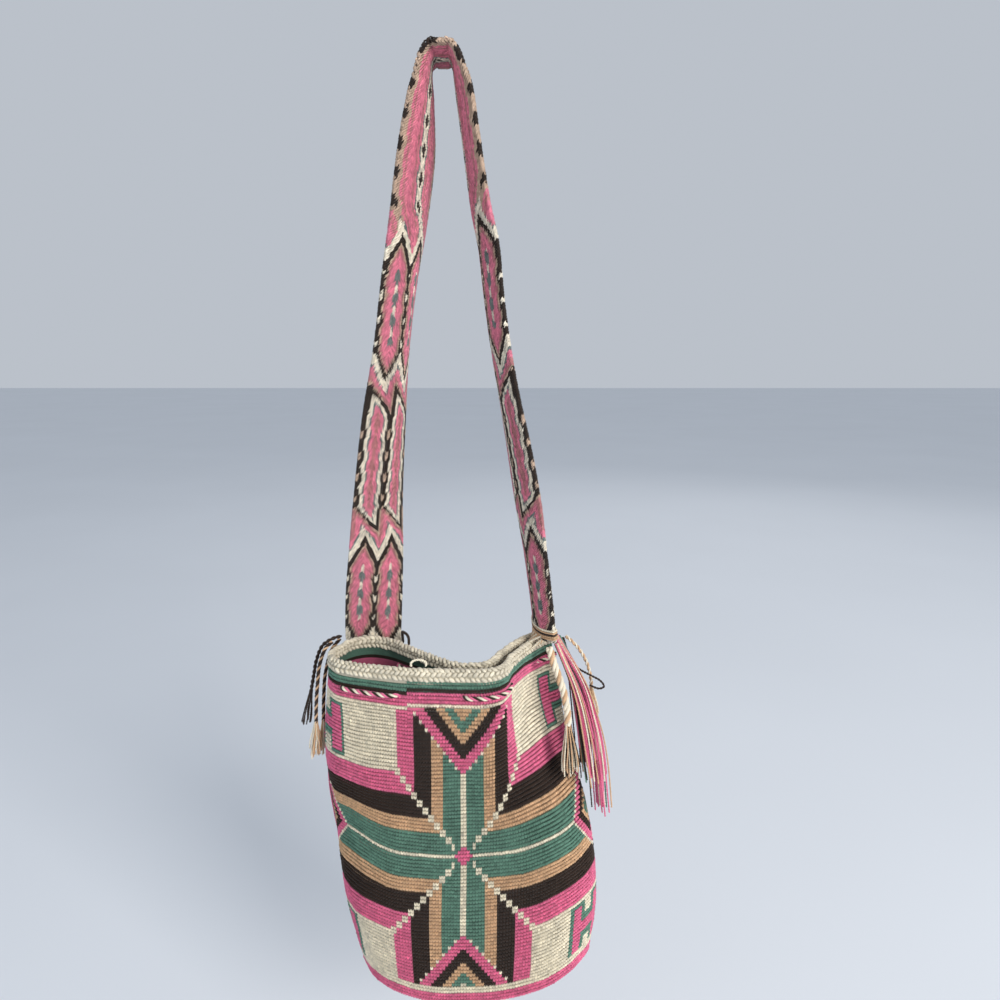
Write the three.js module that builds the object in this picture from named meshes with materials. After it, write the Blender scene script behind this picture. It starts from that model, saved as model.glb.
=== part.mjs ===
// A crocheted shoulder bag of the mochila kind, hanging empty by its strap from a narrow hook.
// Millimetres, +Z up, +X to the right and -Y to the front as the bag hangs.
// The origin is where the underside of the strap lies on the hook.
import * as THREE from "three";

// ---- driving dimensions ----
const STITCHES = 220; // crochet stitches in one round of the wall
const RIM_Z = -543; // top of the rim edging
const BASE_Z = -890; // underside of the base
const WALL = 4; // crocheted cloth
const RIM_WALL = 6; // the plaited edging is thicker than the wall
const RIM_EDGING = 12; // height of that edging
const BASE_CORNER = 8; // how far the wall turns in under the bag
const BASE_FLAT_SHARE = 0.5; // inner ring of the base, as a share of its outline
const COLUMNS = 60; // facets around the wall
const EYELETS = 10; // gaps in the wall for the drawstring
const EYELET_HALF = 2.4; // stitches from the middle of an eyelet to where the drawstring lies along the wall
const EYELET_TOP = -566;
const EYELET_BOTTOM = -575;
const WALL_ROW = 20; // height of a facet row below the eyelets
const STRAP_WIDTH = 58;
const STRAP_THICK = 4;
const STRAP_FOLDS = 5; // flat strips across the curled strap
const DRAWSTRING = 4.5;
const DRAWSTRING_GAP = 0.7; // clearance between the drawstring and the wall
const DRAWSTRING_STEPS = 130;
const DRAWSTRING_SEAM = 121; // stitch where its two ends meet, inside the back wall
const SEAM_HALF = 2.5; // stitches from there to each end
const KNOT_RADIUS = 3.6;
const LASHING = 1.8; // yarn round the strap end
const LASHING_GAP = 0.45;
const TOUCH = 0.3; // gap kept between pieces that touch
const CORD_SIDES = 8;

const STITCHES_PER_EYELET = STITCHES / EYELETS;
const COLUMNS_PER_EYELET = COLUMNS / EYELETS;

// ---- colours of the yarns ----
const CREAM = 0xe6dfc9;
const PINK = 0xd65f92;
const TEAL = 0x5c9484;
const BROWN = 0x3a2e28;
const TAN = 0xcda884;

// ---- outlines of the wall, seen from above, as it hangs ----
// Each starts at the middle of the front star and runs past +X, the back and -X. The mouth is open on
// the left, pressed flat on the right, and has a crease in front where the right side turns back.
const OUTLINES = [
  {
    z: RIM_Z,
    points: [
      [15, -45], [38, -45], [52, -37], [62, -10], [78, 20], [96, 46], [104, 55], [99, 60],
      [87, 51], [68, 27], [52, -1], [40, -27], [15, -33], [-8, -20], [-27, -4], [-46, 14],
      [-60, 29], [-77, 38], [-92, 38], [-104, 30], [-113, 14], [-119, -4], [-110, -21],
      [-88, -31], [-60, -38], [-25, -44],
    ],
  },
  {
    z: -600,
    points: [
      [15, -50], [36, -50], [51, -41], [62, -14], [78, 18], [97, 42], [112, 54], [106, 63],
      [86, 55], [60, 28], [36, 5], [13, -2], [-14, 10], [-42, 28], [-70, 41], [-97, 43],
      [-117, 28], [-125, 4], [-113, -18], [-85, -34], [-50, -45], [-18, -50],
    ],
  },
  {
    z: -655,
    points: [
      [15, -56], [42, -53], [62, -36], [84, -8], [106, 22], [120, 46], [112, 64], [72, 62],
      [20, 54], [-35, 54], [-85, 50], [-118, 30], [-128, 4], [-115, -22], [-84, -42],
      [-46, -53], [-15, -57],
    ],
  },
  {
    z: -729,
    points: [
      [15, -62], [45, -59], [75, -51], [103, -34], [127, -8], [141, 20], [136, 48],
      [112, 62], [60, 66], [5, 64], [-50, 60], [-95, 44], [-119, 16], [-117, -10],
      [-94, -34], [-56, -56], [-20, -62],
    ],
  },
  {
    z: -800,
    points: [
      [14, -68], [58, -63], [98, -47], [131, -20], [151, 10], [149, 40], [126, 61],
      [78, 70], [22, 72], [-36, 66], [-85, 50], [-113, 20], [-113, -8], [-96, -36],
      [-64, -57], [-24, -67],
    ],
  },
  {
    z: -850,
    points: [
      [14, -71], [56, -67], [96, -53], [131, -25], [151, 5], [149, 34], [126, 57],
      [80, 71], [28, 75], [-30, 68], [-78, 48], [-103, 18], [-104, -9], [-87, -38],
      [-56, -60], [-22, -70],
    ],
  },
  {
    z: -884,
    points: [
      [14, -72], [54, -68], [92, -56], [125, -32], [145, -2], [144, 28], [121, 53],
      [80, 69], [28, 73], [-26, 66], [-68, 46], [-92, 18], [-95, -9], [-79, -40],
      [-51, -60], [-20, -70],
    ],
  },
];

// ---- the strap's centre line, from its left end over the hook to its right end ----
// turn is how far its front edge has swung to the left, curl how far its two long edges bend outwards.
const STRAP_STATIONS = [
  { at: [-85, 45.5, -557], turn: 88, curl: 8 },
  { at: [-85, 45, -541], turn: 88, curl: 8 },
  { at: [-82, 42, -502], turn: 78, curl: 10 },
  { at: [-77, 38, -458], turn: 63, curl: 12 },
  { at: [-70, 33, -394], turn: 48, curl: 17 },
  { at: [-59, 27, -314], turn: 38, curl: 23 },
  { at: [-47, 21, -247], turn: 27, curl: 28 },
  { at: [-37, 15, -183], turn: 26, curl: 27 },
  { at: [-29.5, 11, -139], turn: 27, curl: 22 },
  { at: [-20, 6, -76], turn: 26, curl: 18 },
  { at: [-13.6, 2, -31], turn: 14, curl: 20 },
  { at: [-12, 0, -14], turn: 5, curl: 18 },
  { at: [-10.4, 0, -4], turn: 0, curl: 16 },
  { at: [-7, 0, 2], turn: 0, curl: 12 },
  { at: [-4, 0, 2], turn: 0, curl: 10 },
  { at: [0, 0, 2], turn: 0, curl: 10 },
  { at: [4, 0, 2], turn: 0, curl: 10 },
  { at: [7, 0, 2], turn: 0, curl: 12 },
  { at: [10.6, 0, -4], turn: 0, curl: 16 },
  { at: [12.4, 0, -14], turn: -1, curl: 24 },
  { at: [14.4, 1, -31], turn: -4, curl: 34 },
  { at: [20, 3, -72], turn: -5, curl: 35 },
  { at: [26.5, 6, -122], turn: -8, curl: 37 },
  { at: [33.5, 8, -156], turn: -11, curl: 35 },
  { at: [38.5, 10, -200], turn: -11, curl: 32 },
  { at: [45, 13, -247], turn: -11, curl: 32 },
  { at: [53.5, 16, -294], turn: -14, curl: 29 },
  { at: [62.5, 19, -343], turn: -20, curl: 29 },
  { at: [71, 22, -394], turn: -23, curl: 29 },
  { at: [79, 25, -446], turn: -19, curl: 29 },
  { at: [86, 28, -500], turn: -17, curl: 32 },
  { at: [89, 30, -526], turn: -16, curl: 32 },
  { at: [91, 31, -540], turn: -16, curl: 32 },
];
const STRAP_SUBSTEPS = 2; // sections between two stations

// ---- free cords: the yarn ends of the strap, left and right ----
const CORDS = [
  {
    name: "left_black_cord", colour: BROWN, diameter: 4, steps: 10,
    route: [[-115, 27, -539], [-123, 23, -540], [-133, 19, -546], [-139, 15, -560], [-142, 12, -576], [-145, 10, -592]],
    fringe: { name: "left_black_fringe", length: 40, width: 9 },
  },
  {
    name: "left_brown_cord_front", colour: BROWN, diameter: 4, steps: 12,
    route: [[-121, 11, -539], [-127, 8, -544], [-133, 4, -560], [-136, 2, -582], [-138, 1, -604], [-139, 1, -623]],
    fringe: { name: "left_tan_fringe_front", length: 38, width: 11, colour: TAN },
  },
  {
    name: "left_brown_cord_back", colour: BROWN, diameter: 4, steps: 12,
    route: [[-119, 37, -546], [-127, 32, -556], [-133, 24, -580], [-134, 18, -600], [-135, 15, -628]],
    fringe: { name: "left_tan_fringe_back", length: 38, width: 9, colour: TAN },
  },
  {
    name: "left_back_strands", colour: TEAL, diameter: 5, steps: 14,
    route: [[-113, 55, -562], [-122, 52, -590], [-131, 44, -630], [-135, 34, -670], [-134, 27, -705], [-129, 24, -740], [-125, 24, -764]],
  },
  {
    name: "right_pink_tassel_outer", colour: PINK, diameter: 8, steps: 14,
    route: [[109, 33, -541], [118, 30, -556], [130, 26, -576], [139, 22, -596], [145, 18, -620], [150, 14, -644], [153, 10, -670], [155, 7, -695], [157, 5, -717]],
  },
  {
    name: "right_pink_tassel_inner", colour: PINK, diameter: 7, steps: 12,
    route: [[109, 22, -545], [117, 18, -563], [126, 14, -584], [133, 10, -606], [138, 6, -630], [142, 2, -654], [146, -2, -680]],
  },
  {
    name: "right_teal_strands", colour: TEAL, diameter: 5, steps: 14,
    route: [[113, 43, -545], [122, 41, -562], [134, 36, -584], [144, 31, -608], [151, 26, -636], [156, 21, -668], [159, 17, -696], [161, 14, -722]],
  },
  {
    name: "right_cream_braid", colour: CREAM, diameter: 8, steps: 9,
    route: [[101, 13, -546], [105, 9, -560], [111, 5, -576], [116, 1, -592], [119, -3, -608], [120, -6, -622]],
    fringe: { name: "right_cream_fringe", length: 56, width: 17 },
  },
  {
    name: "right_black_strands", colour: BROWN, diameter: 6, steps: 12,
    route: [[118, 58, -553], [124, 57, -575], [130, 54, -605], [135, 49, -635], [139, 44, -662], [142, 40, -690]],
  },
  {
    name: "right_tan_cord", colour: TAN, diameter: 4, steps: 8,
    route: [[121, 48, -547], [133, 46, -558], [143, 43, -574], [148, 41, -592], [149, 41, -604]],
    fringe: { name: "right_tan_fringe", length: 40, width: 12 },
  },
  {
    name: "right_thread_loop", colour: BROWN, diameter: 2.5, steps: 16,
    route: [[124, 33, -570], [134, 33, -578], [146, 33, -585], [157, 32, -591], [161, 31, -597], [156, 32, -600], [146, 34, -597]],
  },
];

// ---- small yarn details at the rim ----
const RIM_LOOP = {
  diameter: 2, steps: 14,
  route: [[-34, -44, -541.6], [-34, -44, -538], [-30, -43, -535.5], [-24, -43, -535.5], [-20, -43, -538], [-20, -43, -541.6]],
};
const BACK_LOOP = {
  diameter: 3, steps: 14,
  route: [[-46, 36, -552], [-46, 33, -543], [-48, 31, -538], [-52, 34, -537], [-53, 39, -543], [-53, 42, -552]],
};

// ---- helpers ----
const vec = (p) => new THREE.Vector3(p[0], p[1], p[2]);

function solid(positions, faces) {
  const geometry = new THREE.BufferGeometry();
  geometry.setAttribute("position", new THREE.Float32BufferAttribute(positions.flat(), 3));
  geometry.setIndex(faces.flat());
  geometry.computeVertexNormals();
  return geometry;
}

// A quad given anticlockwise as seen from outside, as two triangles.
const quad = (a, b, c, d) => [[a, b, c], [a, c, d]];

function named(name, geometry, colour) {
  const material = new THREE.MeshStandardMaterial({ color: colour, roughness: 0.95, metalness: 0 });
  const mesh = new THREE.Mesh(geometry, material);
  mesh.name = name;
  return mesh;
}

// A round cord of constant diameter along a smooth curve.
function tubeAlong(curve, diameter, steps) {
  const corner = (k) => {
    const angle = (2 * Math.PI * k) / CORD_SIDES;
    return new THREE.Vector2(Math.cos(angle), Math.sin(angle)).multiplyScalar(diameter / 2);
  };
  const section = new THREE.Shape(Array.from({ length: CORD_SIDES }, (_, k) => corner(k)));
  return new THREE.ExtrudeGeometry(section, { steps, bevelEnabled: false, extrudePath: curve });
}

const smoothRoute = (route) => new THREE.CatmullRomCurve3(route.map(vec), false, "centripetal");

// A bundle of loose yarn ends that widens downwards, hung with its top at the end of a curve.
function fringeBelow(curve, topDiameter, { length, width }) {
  const profile = [
    [0, 0], [topDiameter / 2, 0], [width * 0.36, -0.25 * length], [width / 2, -0.7 * length],
    [width * 0.42, -length], [0, -length],
  ];
  const fringe = new THREE.LatheGeometry(profile.map(([r, y]) => new THREE.Vector2(r, y)).reverse(), CORD_SIDES + 2);
  const along = curve.getTangentAt(1);
  const down = new THREE.Vector3(0, -1, 0);
  fringe.applyQuaternion(new THREE.Quaternion().setFromUnitVectors(down, along));
  const top = curve.getPointAt(1).addScaledVector(along, TOUCH);
  return fringe.translate(top.x, top.y, top.z);
}

// ---- the wall as a surface: stitch number around and height ----
const levels = OUTLINES.map(({ z, points }) => {
  const curve = new THREE.CatmullRomCurve3(points.map(([x, y]) => new THREE.Vector3(x, y, z)), true, "centripetal");
  curve.arcLengthDivisions = 800;
  return { z, curve };
});

function wrapped(stitch) {
  return (((stitch % STITCHES) + STITCHES) % STITCHES) / STITCHES;
}

// Cubic interpolation between the levels, with slopes from their neighbours.
function wallMiddle(stitch, z) {
  const last = levels.length - 2;
  let k = levels.findIndex((level, i) => i > 0 && z >= level.z) - 1;
  if (k < 0) k = last;
  const at = (i) => levels[THREE.MathUtils.clamp(i, 0, last + 1)].curve.getPointAt(wrapped(stitch));
  const [before, start, end, after] = [at(k - 1), at(k), at(k + 1), at(k + 2)];
  const span = end.z - start.z;
  const t = THREE.MathUtils.clamp((z - start.z) / span, 0, 1);
  const slope = (a, b) => (b.z === a.z ? [0, 0] : [(b.x - a.x) / (b.z - a.z), (b.y - a.y) / (b.z - a.z)]);
  const startSlope = slope(before, end);
  const endSlope = slope(start, after);
  const h = [2 * t ** 3 - 3 * t ** 2 + 1, t ** 3 - 2 * t ** 2 + t, 3 * t ** 2 - 2 * t ** 3, t ** 3 - t ** 2];
  const mix = (a, da, b, db) => h[0] * a + h[1] * span * da + h[2] * b + h[3] * span * db;
  return new THREE.Vector3(
    mix(start.x, startSlope[0], end.x, endSlope[0]),
    mix(start.y, startSlope[1], end.y, endSlope[1]),
    z,
  );
}

// A point at a distance outwards from the middle of the cloth.
function wallPoint(stitch, z, outwards) {
  const step = 1;
  const middle = wallMiddle(stitch, z);
  const along = wallMiddle(stitch + step, z).sub(wallMiddle(stitch - step, z)).normalize();
  return [middle.x + outwards * along.y, middle.y - outwards * along.x, z];
}

function rowHeights() {
  const heights = [RIM_Z, RIM_Z - RIM_EDGING / 2, RIM_Z - RIM_EDGING, EYELET_TOP, EYELET_BOTTOM];
  const bottom = BASE_Z + BASE_CORNER * 0.75;
  const rows = Math.round((EYELET_BOTTOM - bottom) / WALL_ROW);
  for (let i = 1; i <= rows; i++) heights.push(EYELET_BOTTOM + ((bottom - EYELET_BOTTOM) * i) / rows);
  return heights;
}

// ---- bag body: base, wall and rim, crocheted as one piece ----
function bagBody() {
  const positions = [];
  const faces = [];
  const add = (p) => positions.push(p) - 1;
  const heights = rowHeights();
  const eyeletRow = heights.indexOf(EYELET_TOP);
  const halfWall = (row) => (heights[row] > RIM_Z - RIM_EDGING ? RIM_WALL : WALL) / 2;
  const stitchOf = (column) => (column * STITCHES) / COLUMNS;
  const ringAt = (row, side) =>
    Array.from({ length: COLUMNS }, (_, j) => add(wallPoint(stitchOf(j), heights[row], side * halfWall(row))));
  const outer = heights.map((_, row) => ringAt(row, 1));
  const inner = heights.map((_, row) => ringAt(row, -1));
  const lastRow = heights.length - 1;
  const next = (j) => (j + 1) % COLUMNS;
  const isOpen = (row, j) => {
    const place = (j + 1) % COLUMNS_PER_EYELET;
    return row === eyeletRow && place < 2;
  };
  const bridge = (a, b, c, d) => faces.push(...quad(a, b, c, d));

  for (let row = 0; row < lastRow; row++) {
    for (let j = 0; j < COLUMNS; j++) {
      const [a, b, c, d] = [outer[row][j], outer[row][next(j)], outer[row + 1][next(j)], outer[row + 1][j]];
      const [e, f, g, h] = [inner[row][j], inner[row][next(j)], inner[row + 1][next(j)], inner[row + 1][j]];
      if (!isOpen(row, j)) {
        faces.push(...quad(d, c, b, a), ...quad(e, f, g, h));
        if (row === 0) bridge(e, a, b, f);
        continue;
      }
      bridge(a, e, f, b); // underside of the cloth above the eyelet
      bridge(d, c, g, h); // top of the cloth below it
      if (!isOpen(row, (j + COLUMNS - 1) % COLUMNS)) bridge(a, d, h, e);
      if (!isOpen(row, next(j))) bridge(b, f, g, c);
    }
  }

  const centreOf = (ring) => {
    const sum = ring.reduce((total, i) => total.add(vec(positions[i])), new THREE.Vector3());
    return sum.multiplyScalar(1 / ring.length);
  };
  // A ring drawn in towards the centre by a distance or a share.
  const drawnIn = (ring, z, inset, share) => {
    const centre = centreOf(ring);
    return ring.map((i) => {
      const p = vec(positions[i]).sub(centre).setZ(0);
      const scale = share ?? 1 - inset / p.length();
      return add([centre.x + p.x * scale, centre.y + p.y * scale, z]);
    });
  };
  const belt = (upper, lower) => {
    for (let j = 0; j < COLUMNS; j++) bridge(lower[j], lower[next(j)], upper[next(j)], upper[j]);
  };
  const underside = [outer[lastRow]];
  underside.push(drawnIn(outer[lastRow], BASE_Z + BASE_CORNER * 0.2, BASE_CORNER * 0.3));
  underside.push(drawnIn(outer[lastRow], BASE_Z, BASE_CORNER));
  underside.push(drawnIn(underside[2], BASE_Z, 0, BASE_FLAT_SHARE));
  for (let k = 0; k < underside.length - 1; k++) belt(underside[k], underside[k + 1]);
  const floor = [inner[lastRow], drawnIn(inner[lastRow], BASE_Z + WALL, BASE_CORNER)];
  floor.push(drawnIn(floor[1], BASE_Z + WALL, 0, BASE_FLAT_SHARE));
  for (let k = 0; k < floor.length - 1; k++) belt(floor[k + 1], floor[k]);
  const under = centreOf(underside[3]);
  const bottom = add([under.x, under.y, BASE_Z]);
  const top = add([under.x, under.y, BASE_Z + WALL]);
  for (let j = 0; j < COLUMNS; j++) {
    faces.push([bottom, underside[3][next(j)], underside[3][j]]);
    faces.push([top, floor[2][j], floor[2][next(j)]]);
  }
  return solid(positions, faces);
}

// ---- shoulder strap: a braided band, curled lengthwise where it lies on the hook ----
const strapLine = new THREE.CatmullRomCurve3(STRAP_STATIONS.map(({ at }) => vec(at)), false, "catmullrom", 0.5);
const strapForm = new THREE.CatmullRomCurve3(
  STRAP_STATIONS.map(({ turn, curl }) => new THREE.Vector3(turn, curl, 0)), false, "catmullrom", 0.5,
);

// The closed outline of the strap's section at t from 0 to 1, made thicker by pad on every side.
function strapSection(t, pad = 0) {
  const middle = strapLine.getPoint(t);
  const tangent = strapLine.getTangent(t);
  const form = strapForm.getPoint(t);
  const turn = THREE.MathUtils.degToRad(form.x);
  const across = new THREE.Vector3(-Math.sin(turn), -Math.cos(turn), 0);
  across.addScaledVector(tangent, -across.dot(tangent)).normalize();
  const outwards = across.clone().cross(tangent);
  const bend = THREE.MathUtils.degToRad(form.y) / 2;
  const strip = STRAP_WIDTH / STRAP_FOLDS;
  const half = (STRAP_FOLDS - 1) / 2;
  const mitre = 1 / Math.cos(bend / 2);
  const line = [];
  const offsets = [];
  for (const side of [-1, 1]) {
    let point = new THREE.Vector2(side * strip / 2, 0);
    const tilt = (angle, size) => new THREE.Vector2(-side * Math.sin(angle), Math.cos(angle)).multiplyScalar(size);
    const points = [point];
    const tilts = [tilt(bend / 2, mitre)];
    for (let k = 1; k <= half; k++) {
      const angle = bend * k;
      const isEdge = k === half;
      const step = new THREE.Vector2(side * Math.cos(angle), Math.sin(angle));
      point = point.clone().addScaledVector(step, strip + (isEdge ? pad : 0));
      points.push(point);
      tilts.push(isEdge ? tilt(angle, 1) : tilt(angle + bend / 2, mitre));
    }
    line.push(side < 0 ? points.reverse() : points);
    offsets.push(side < 0 ? tilts.reverse() : tilts);
  }
  const place = (p) => middle.clone().addScaledVector(across, p.x).addScaledVector(outwards, p.y).toArray();
  const thick = STRAP_THICK / 2 + pad;
  const points = line.flat();
  const tilts = offsets.flat();
  const face = points.map((p, i) => place(p.clone().addScaledVector(tilts[i], thick)));
  const back = points.map((p, i) => place(p.clone().addScaledVector(tilts[i], -thick)));
  return [...back, ...face.reverse()];
}

// Joins equal closed outlines, one after another, and caps the two ends.
function lofted(sections) {
  const count = sections[0].length;
  const faces = [];
  const corner = (i, k) => i * count + (k % count);
  for (let i = 0; i < sections.length - 1; i++)
    for (let k = 0; k < count; k++)
      faces.push(...quad(corner(i, k), corner(i + 1, k), corner(i + 1, k + 1), corner(i, k + 1)));
  const last = sections.length - 1;
  for (let k = 0; k < count / 2 - 1; k++) {
    const [a, b, c, d] = [k, k + 1, count - 2 - k, count - 1 - k];
    faces.push(...quad(corner(0, a), corner(0, b), corner(0, c), corner(0, d)));
    faces.push(...quad(corner(last, d), corner(last, c), corner(last, b), corner(last, a)));
  }
  return solid(sections.flat(), faces);
}

function shoulderStrap() {
  const steps = (STRAP_STATIONS.length - 1) * STRAP_SUBSTEPS;
  return lofted(Array.from({ length: steps + 1 }, (_, i) => strapSection(i / steps)));
}

// A band of yarn wound round the strap between two places along it.
function lashingRound(from, to) {
  const inside = [from, to].map((t) => strapSection(t, LASHING_GAP));
  const outside = [from, to].map((t) => strapSection(t, LASHING_GAP + LASHING));
  const count = inside[0].length;
  const index = (loop, k) => loop * count + (k % count);
  const faces = [];
  for (let k = 0; k < count; k++) {
    faces.push(...quad(index(2, k), index(3, k), index(3, k + 1), index(2, k + 1)));
    faces.push(...quad(index(0, k + 1), index(1, k + 1), index(1, k), index(0, k)));
    faces.push(...quad(index(0, k), index(2, k), index(2, k + 1), index(0, k + 1)));
    faces.push(...quad(index(1, k + 1), index(3, k + 1), index(3, k), index(1, k)));
  }
  return solid([...inside, ...outside].flat(), faces);
}

// The row of stitches that holds the strap's left end, laid on its outer face.
function seamOnStrap(from, to) {
  const strip = (t) => {
    const section = strapSection(t, TOUCH);
    const raised = strapSection(t, TOUCH + 2);
    const count = section.length;
    const face = Array.from({ length: STRAP_FOLDS - 1 }, (_, k) => count / 2 + 1 + k);
    return [...face.map((k) => section[k]).reverse(), ...face.map((k) => raised[k])];
  };
  return lofted([strip(from), strip(to)]);
}

// ---- drawstring: in and out of the wall through the eyelets ----
const drawstringReach = (WALL + DRAWSTRING) / 2 + DRAWSTRING_GAP;

// +1 where the drawstring runs outside the wall, -1 inside, and between them in an eyelet.
function drawstringSide(stitch) {
  const eyelet = Math.round(stitch / STITCHES_PER_EYELET);
  const passing = THREE.MathUtils.clamp((stitch - eyelet * STITCHES_PER_EYELET) / EYELET_HALF, -1, 1);
  return (eyelet % 2 === 0 ? 1 : -1) * Math.sin((passing * Math.PI) / 2);
}

function drawstringRoute() {
  const z = (EYELET_TOP + EYELET_BOTTOM) / 2;
  const points = [];
  for (let s = DRAWSTRING_SEAM + SEAM_HALF; s <= DRAWSTRING_SEAM + STITCHES - SEAM_HALF; s++)
    points.push(vec(wallPoint(s, z, drawstringReach * drawstringSide(s))));
  return new THREE.CatmullRomCurve3(points, false, "centripetal");
}

function drawstringKnot() {
  const z = (EYELET_TOP + EYELET_BOTTOM) / 2;
  const knot = new THREE.SphereGeometry(KNOT_RADIUS, 10, 6);
  return knot.translate(...wallPoint(DRAWSTRING_SEAM, z, -(WALL / 2 + KNOT_RADIUS + 2 * DRAWSTRING_GAP)));
}

// ---- the whole bag ----
const bag = new THREE.Group();
bag.add(named("bag_body", bagBody(), CREAM));
bag.add(named("shoulder_strap", shoulderStrap(), PINK));
const along = (station) => station / (STRAP_STATIONS.length - 1);
bag.add(named("strap_seam_left", seamOnStrap(along(0.15), along(0.75)), CREAM));
bag.add(named("strap_lashing_right", lashingRound(along(31.2), along(31.7)), TAN));
bag.add(named("drawstring", tubeAlong(drawstringRoute(), DRAWSTRING, DRAWSTRING_STEPS), PINK));
bag.add(named("drawstring_knot", drawstringKnot(), PINK));
bag.add(named("rim_loop", tubeAlong(smoothRoute(RIM_LOOP.route), RIM_LOOP.diameter, RIM_LOOP.steps), CREAM));
bag.add(named("back_black_loop", tubeAlong(smoothRoute(BACK_LOOP.route), BACK_LOOP.diameter, BACK_LOOP.steps), BROWN));
for (const { name, colour, diameter, steps, route, fringe } of CORDS) {
  const curve = smoothRoute(route);
  bag.add(named(name, tubeAlong(curve, diameter, steps), colour));
  if (fringe) bag.add(named(fringe.name, fringeBelow(curve, diameter, fringe), fringe.colour ?? colour));
}

export default bag;
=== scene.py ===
"""Looks of an empty crocheted shoulder bag that hangs by its braided strap.

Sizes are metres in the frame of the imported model: +Z up, -Y to the front, and the origin
where the underside of the strap lies on its hook. Shapes that are worked out in
millimetres say so, and are turned into metres where a mesh is made.
"""

import logging
import math
from dataclasses import dataclass, field
from enum import Enum
from typing import Any, Optional, Sequence

import bpy
import numpy as np
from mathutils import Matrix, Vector

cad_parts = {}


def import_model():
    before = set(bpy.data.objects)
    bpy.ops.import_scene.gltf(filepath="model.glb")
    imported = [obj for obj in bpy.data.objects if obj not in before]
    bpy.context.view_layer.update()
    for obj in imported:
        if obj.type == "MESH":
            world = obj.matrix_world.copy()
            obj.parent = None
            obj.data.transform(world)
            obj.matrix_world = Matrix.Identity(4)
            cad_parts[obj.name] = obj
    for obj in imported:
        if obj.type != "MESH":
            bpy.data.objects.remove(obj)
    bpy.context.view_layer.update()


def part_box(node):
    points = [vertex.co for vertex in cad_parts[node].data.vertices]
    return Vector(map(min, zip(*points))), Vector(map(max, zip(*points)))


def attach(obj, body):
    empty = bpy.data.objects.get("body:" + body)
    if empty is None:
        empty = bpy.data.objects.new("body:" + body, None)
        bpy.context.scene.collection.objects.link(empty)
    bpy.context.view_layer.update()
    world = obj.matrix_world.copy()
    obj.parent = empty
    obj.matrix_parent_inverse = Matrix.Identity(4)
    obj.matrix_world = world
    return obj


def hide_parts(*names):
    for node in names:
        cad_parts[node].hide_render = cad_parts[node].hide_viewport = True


LOG = logging.getLogger("shoulder_bag")
MM = 0.001
BODY = "root"
Vec3 = tuple[float, float, float]
Solid = tuple[list[Vec3], list[tuple[int, ...]]]


class Yarn(Enum):
    """The dyed cotton yarns, as linear red, green and blue."""

    CREAM = (0.76, 0.69, 0.54)
    PINK = (0.70, 0.155, 0.28)
    TEAL = (0.115, 0.235, 0.175)
    BLACK = (0.034, 0.020, 0.014)
    TAN = (0.60, 0.385, 0.225)
    STRAP_PINK = (0.60, 0.18, 0.25)
    STRAP_ROSE = (0.40, 0.165, 0.17)
    STRAP_BLACK = (0.024, 0.015, 0.011)
    STRAP_GREY = (0.15, 0.175, 0.165)
    STRAP_WHITE = (0.66, 0.60, 0.49)
    STRAP_TAN = (0.43, 0.31, 0.23)


def palette(*yarns: Yarn) -> np.ndarray:
    """Rows of RGBA for the given yarns."""
    return np.array([[*yarn.value, 1.0] for yarn in yarns])


# ---------------------------------------------------------------- meshes and node trees


def mesh_object(
    name: str,
    vertices: np.ndarray,
    faces: Sequence[Sequence[int]] = (),
    edges: Sequence[Sequence[int]] = (),
) -> bpy.types.Object:
    """Makes an object at the origin whose mesh holds the given shape.

    Args:
        name: The object's name.
        vertices: Points in metres.
        faces: Corner indices of each face.
        edges: Pairs of points, for paths that have no faces.

    Returns:
        The new object, linked to the scene.
    """
    mesh = bpy.data.meshes.new(name)
    mesh.from_pydata(np.asarray(vertices).tolist(), list(edges), [list(f) for f in faces])
    mesh.shade_smooth()
    made = bpy.data.objects.new(name, mesh)
    bpy.context.scene.collection.objects.link(made)
    return made


def add_vectors(mesh: bpy.types.Mesh, name: str, values: np.ndarray) -> None:
    """Stores one vector a point on a mesh."""
    layer = mesh.attributes.new(name, "FLOAT_VECTOR", "POINT")
    layer.data.foreach_set("vector", np.ascontiguousarray(values, dtype=np.float32).ravel())


def add_dye(mesh: bpy.types.Mesh, colours: np.ndarray, domain: str = "POINT") -> None:
    """Stores the yarn's RGBA on each point or corner of a mesh."""
    layer = mesh.attributes.new("yarn", "FLOAT_COLOR", domain)
    layer.data.foreach_set("color", np.ascontiguousarray(colours, dtype=np.float32).ravel())


class NodeBuilder:
    """Short words for putting a node tree together."""

    def __init__(self, tree: bpy.types.NodeTree) -> None:
        """Keeps the tree and clears it."""
        self.tree = tree
        self.tree.nodes.clear()

    def add(
        self, kind: str, settings: Optional[dict[str, Any]] = None, **inputs: Any
    ) -> bpy.types.Node:
        """Adds a node.

        Args:
            kind: The node's type name.
            settings: Properties of the node itself.
            **inputs: A constant or another node's socket for each input. An underscore in
                a name stands for a space, and in0, in1 and so on are inputs by number.

        Returns:
            The node.
        """
        node = self.tree.nodes.new(kind)
        for key, value in (settings or {}).items():
            setattr(node, key, value)
        for key, value in inputs.items():
            number = key[2:] if key.startswith("in") and key[2:].isdigit() else None
            socket = node.inputs[int(number)] if number else node.inputs[key.replace("_", " ")]
            if isinstance(value, bpy.types.NodeSocket):
                self.tree.links.new(value, socket)
            else:
                socket.default_value = value
        return node

    def math(self, operation: str, a: Any, b: Any = 0.0) -> bpy.types.NodeSocket:
        """The result of a Math node."""
        return self.add("ShaderNodeMath", {"operation": operation}, in0=a, in1=b).outputs[0]

    def vector(self, operation: str, **inputs: Any) -> bpy.types.NodeSocket:
        """The result of a Vector Math node."""
        return self.add("ShaderNodeVectorMath", {"operation": operation}, **inputs).outputs[0]


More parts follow.
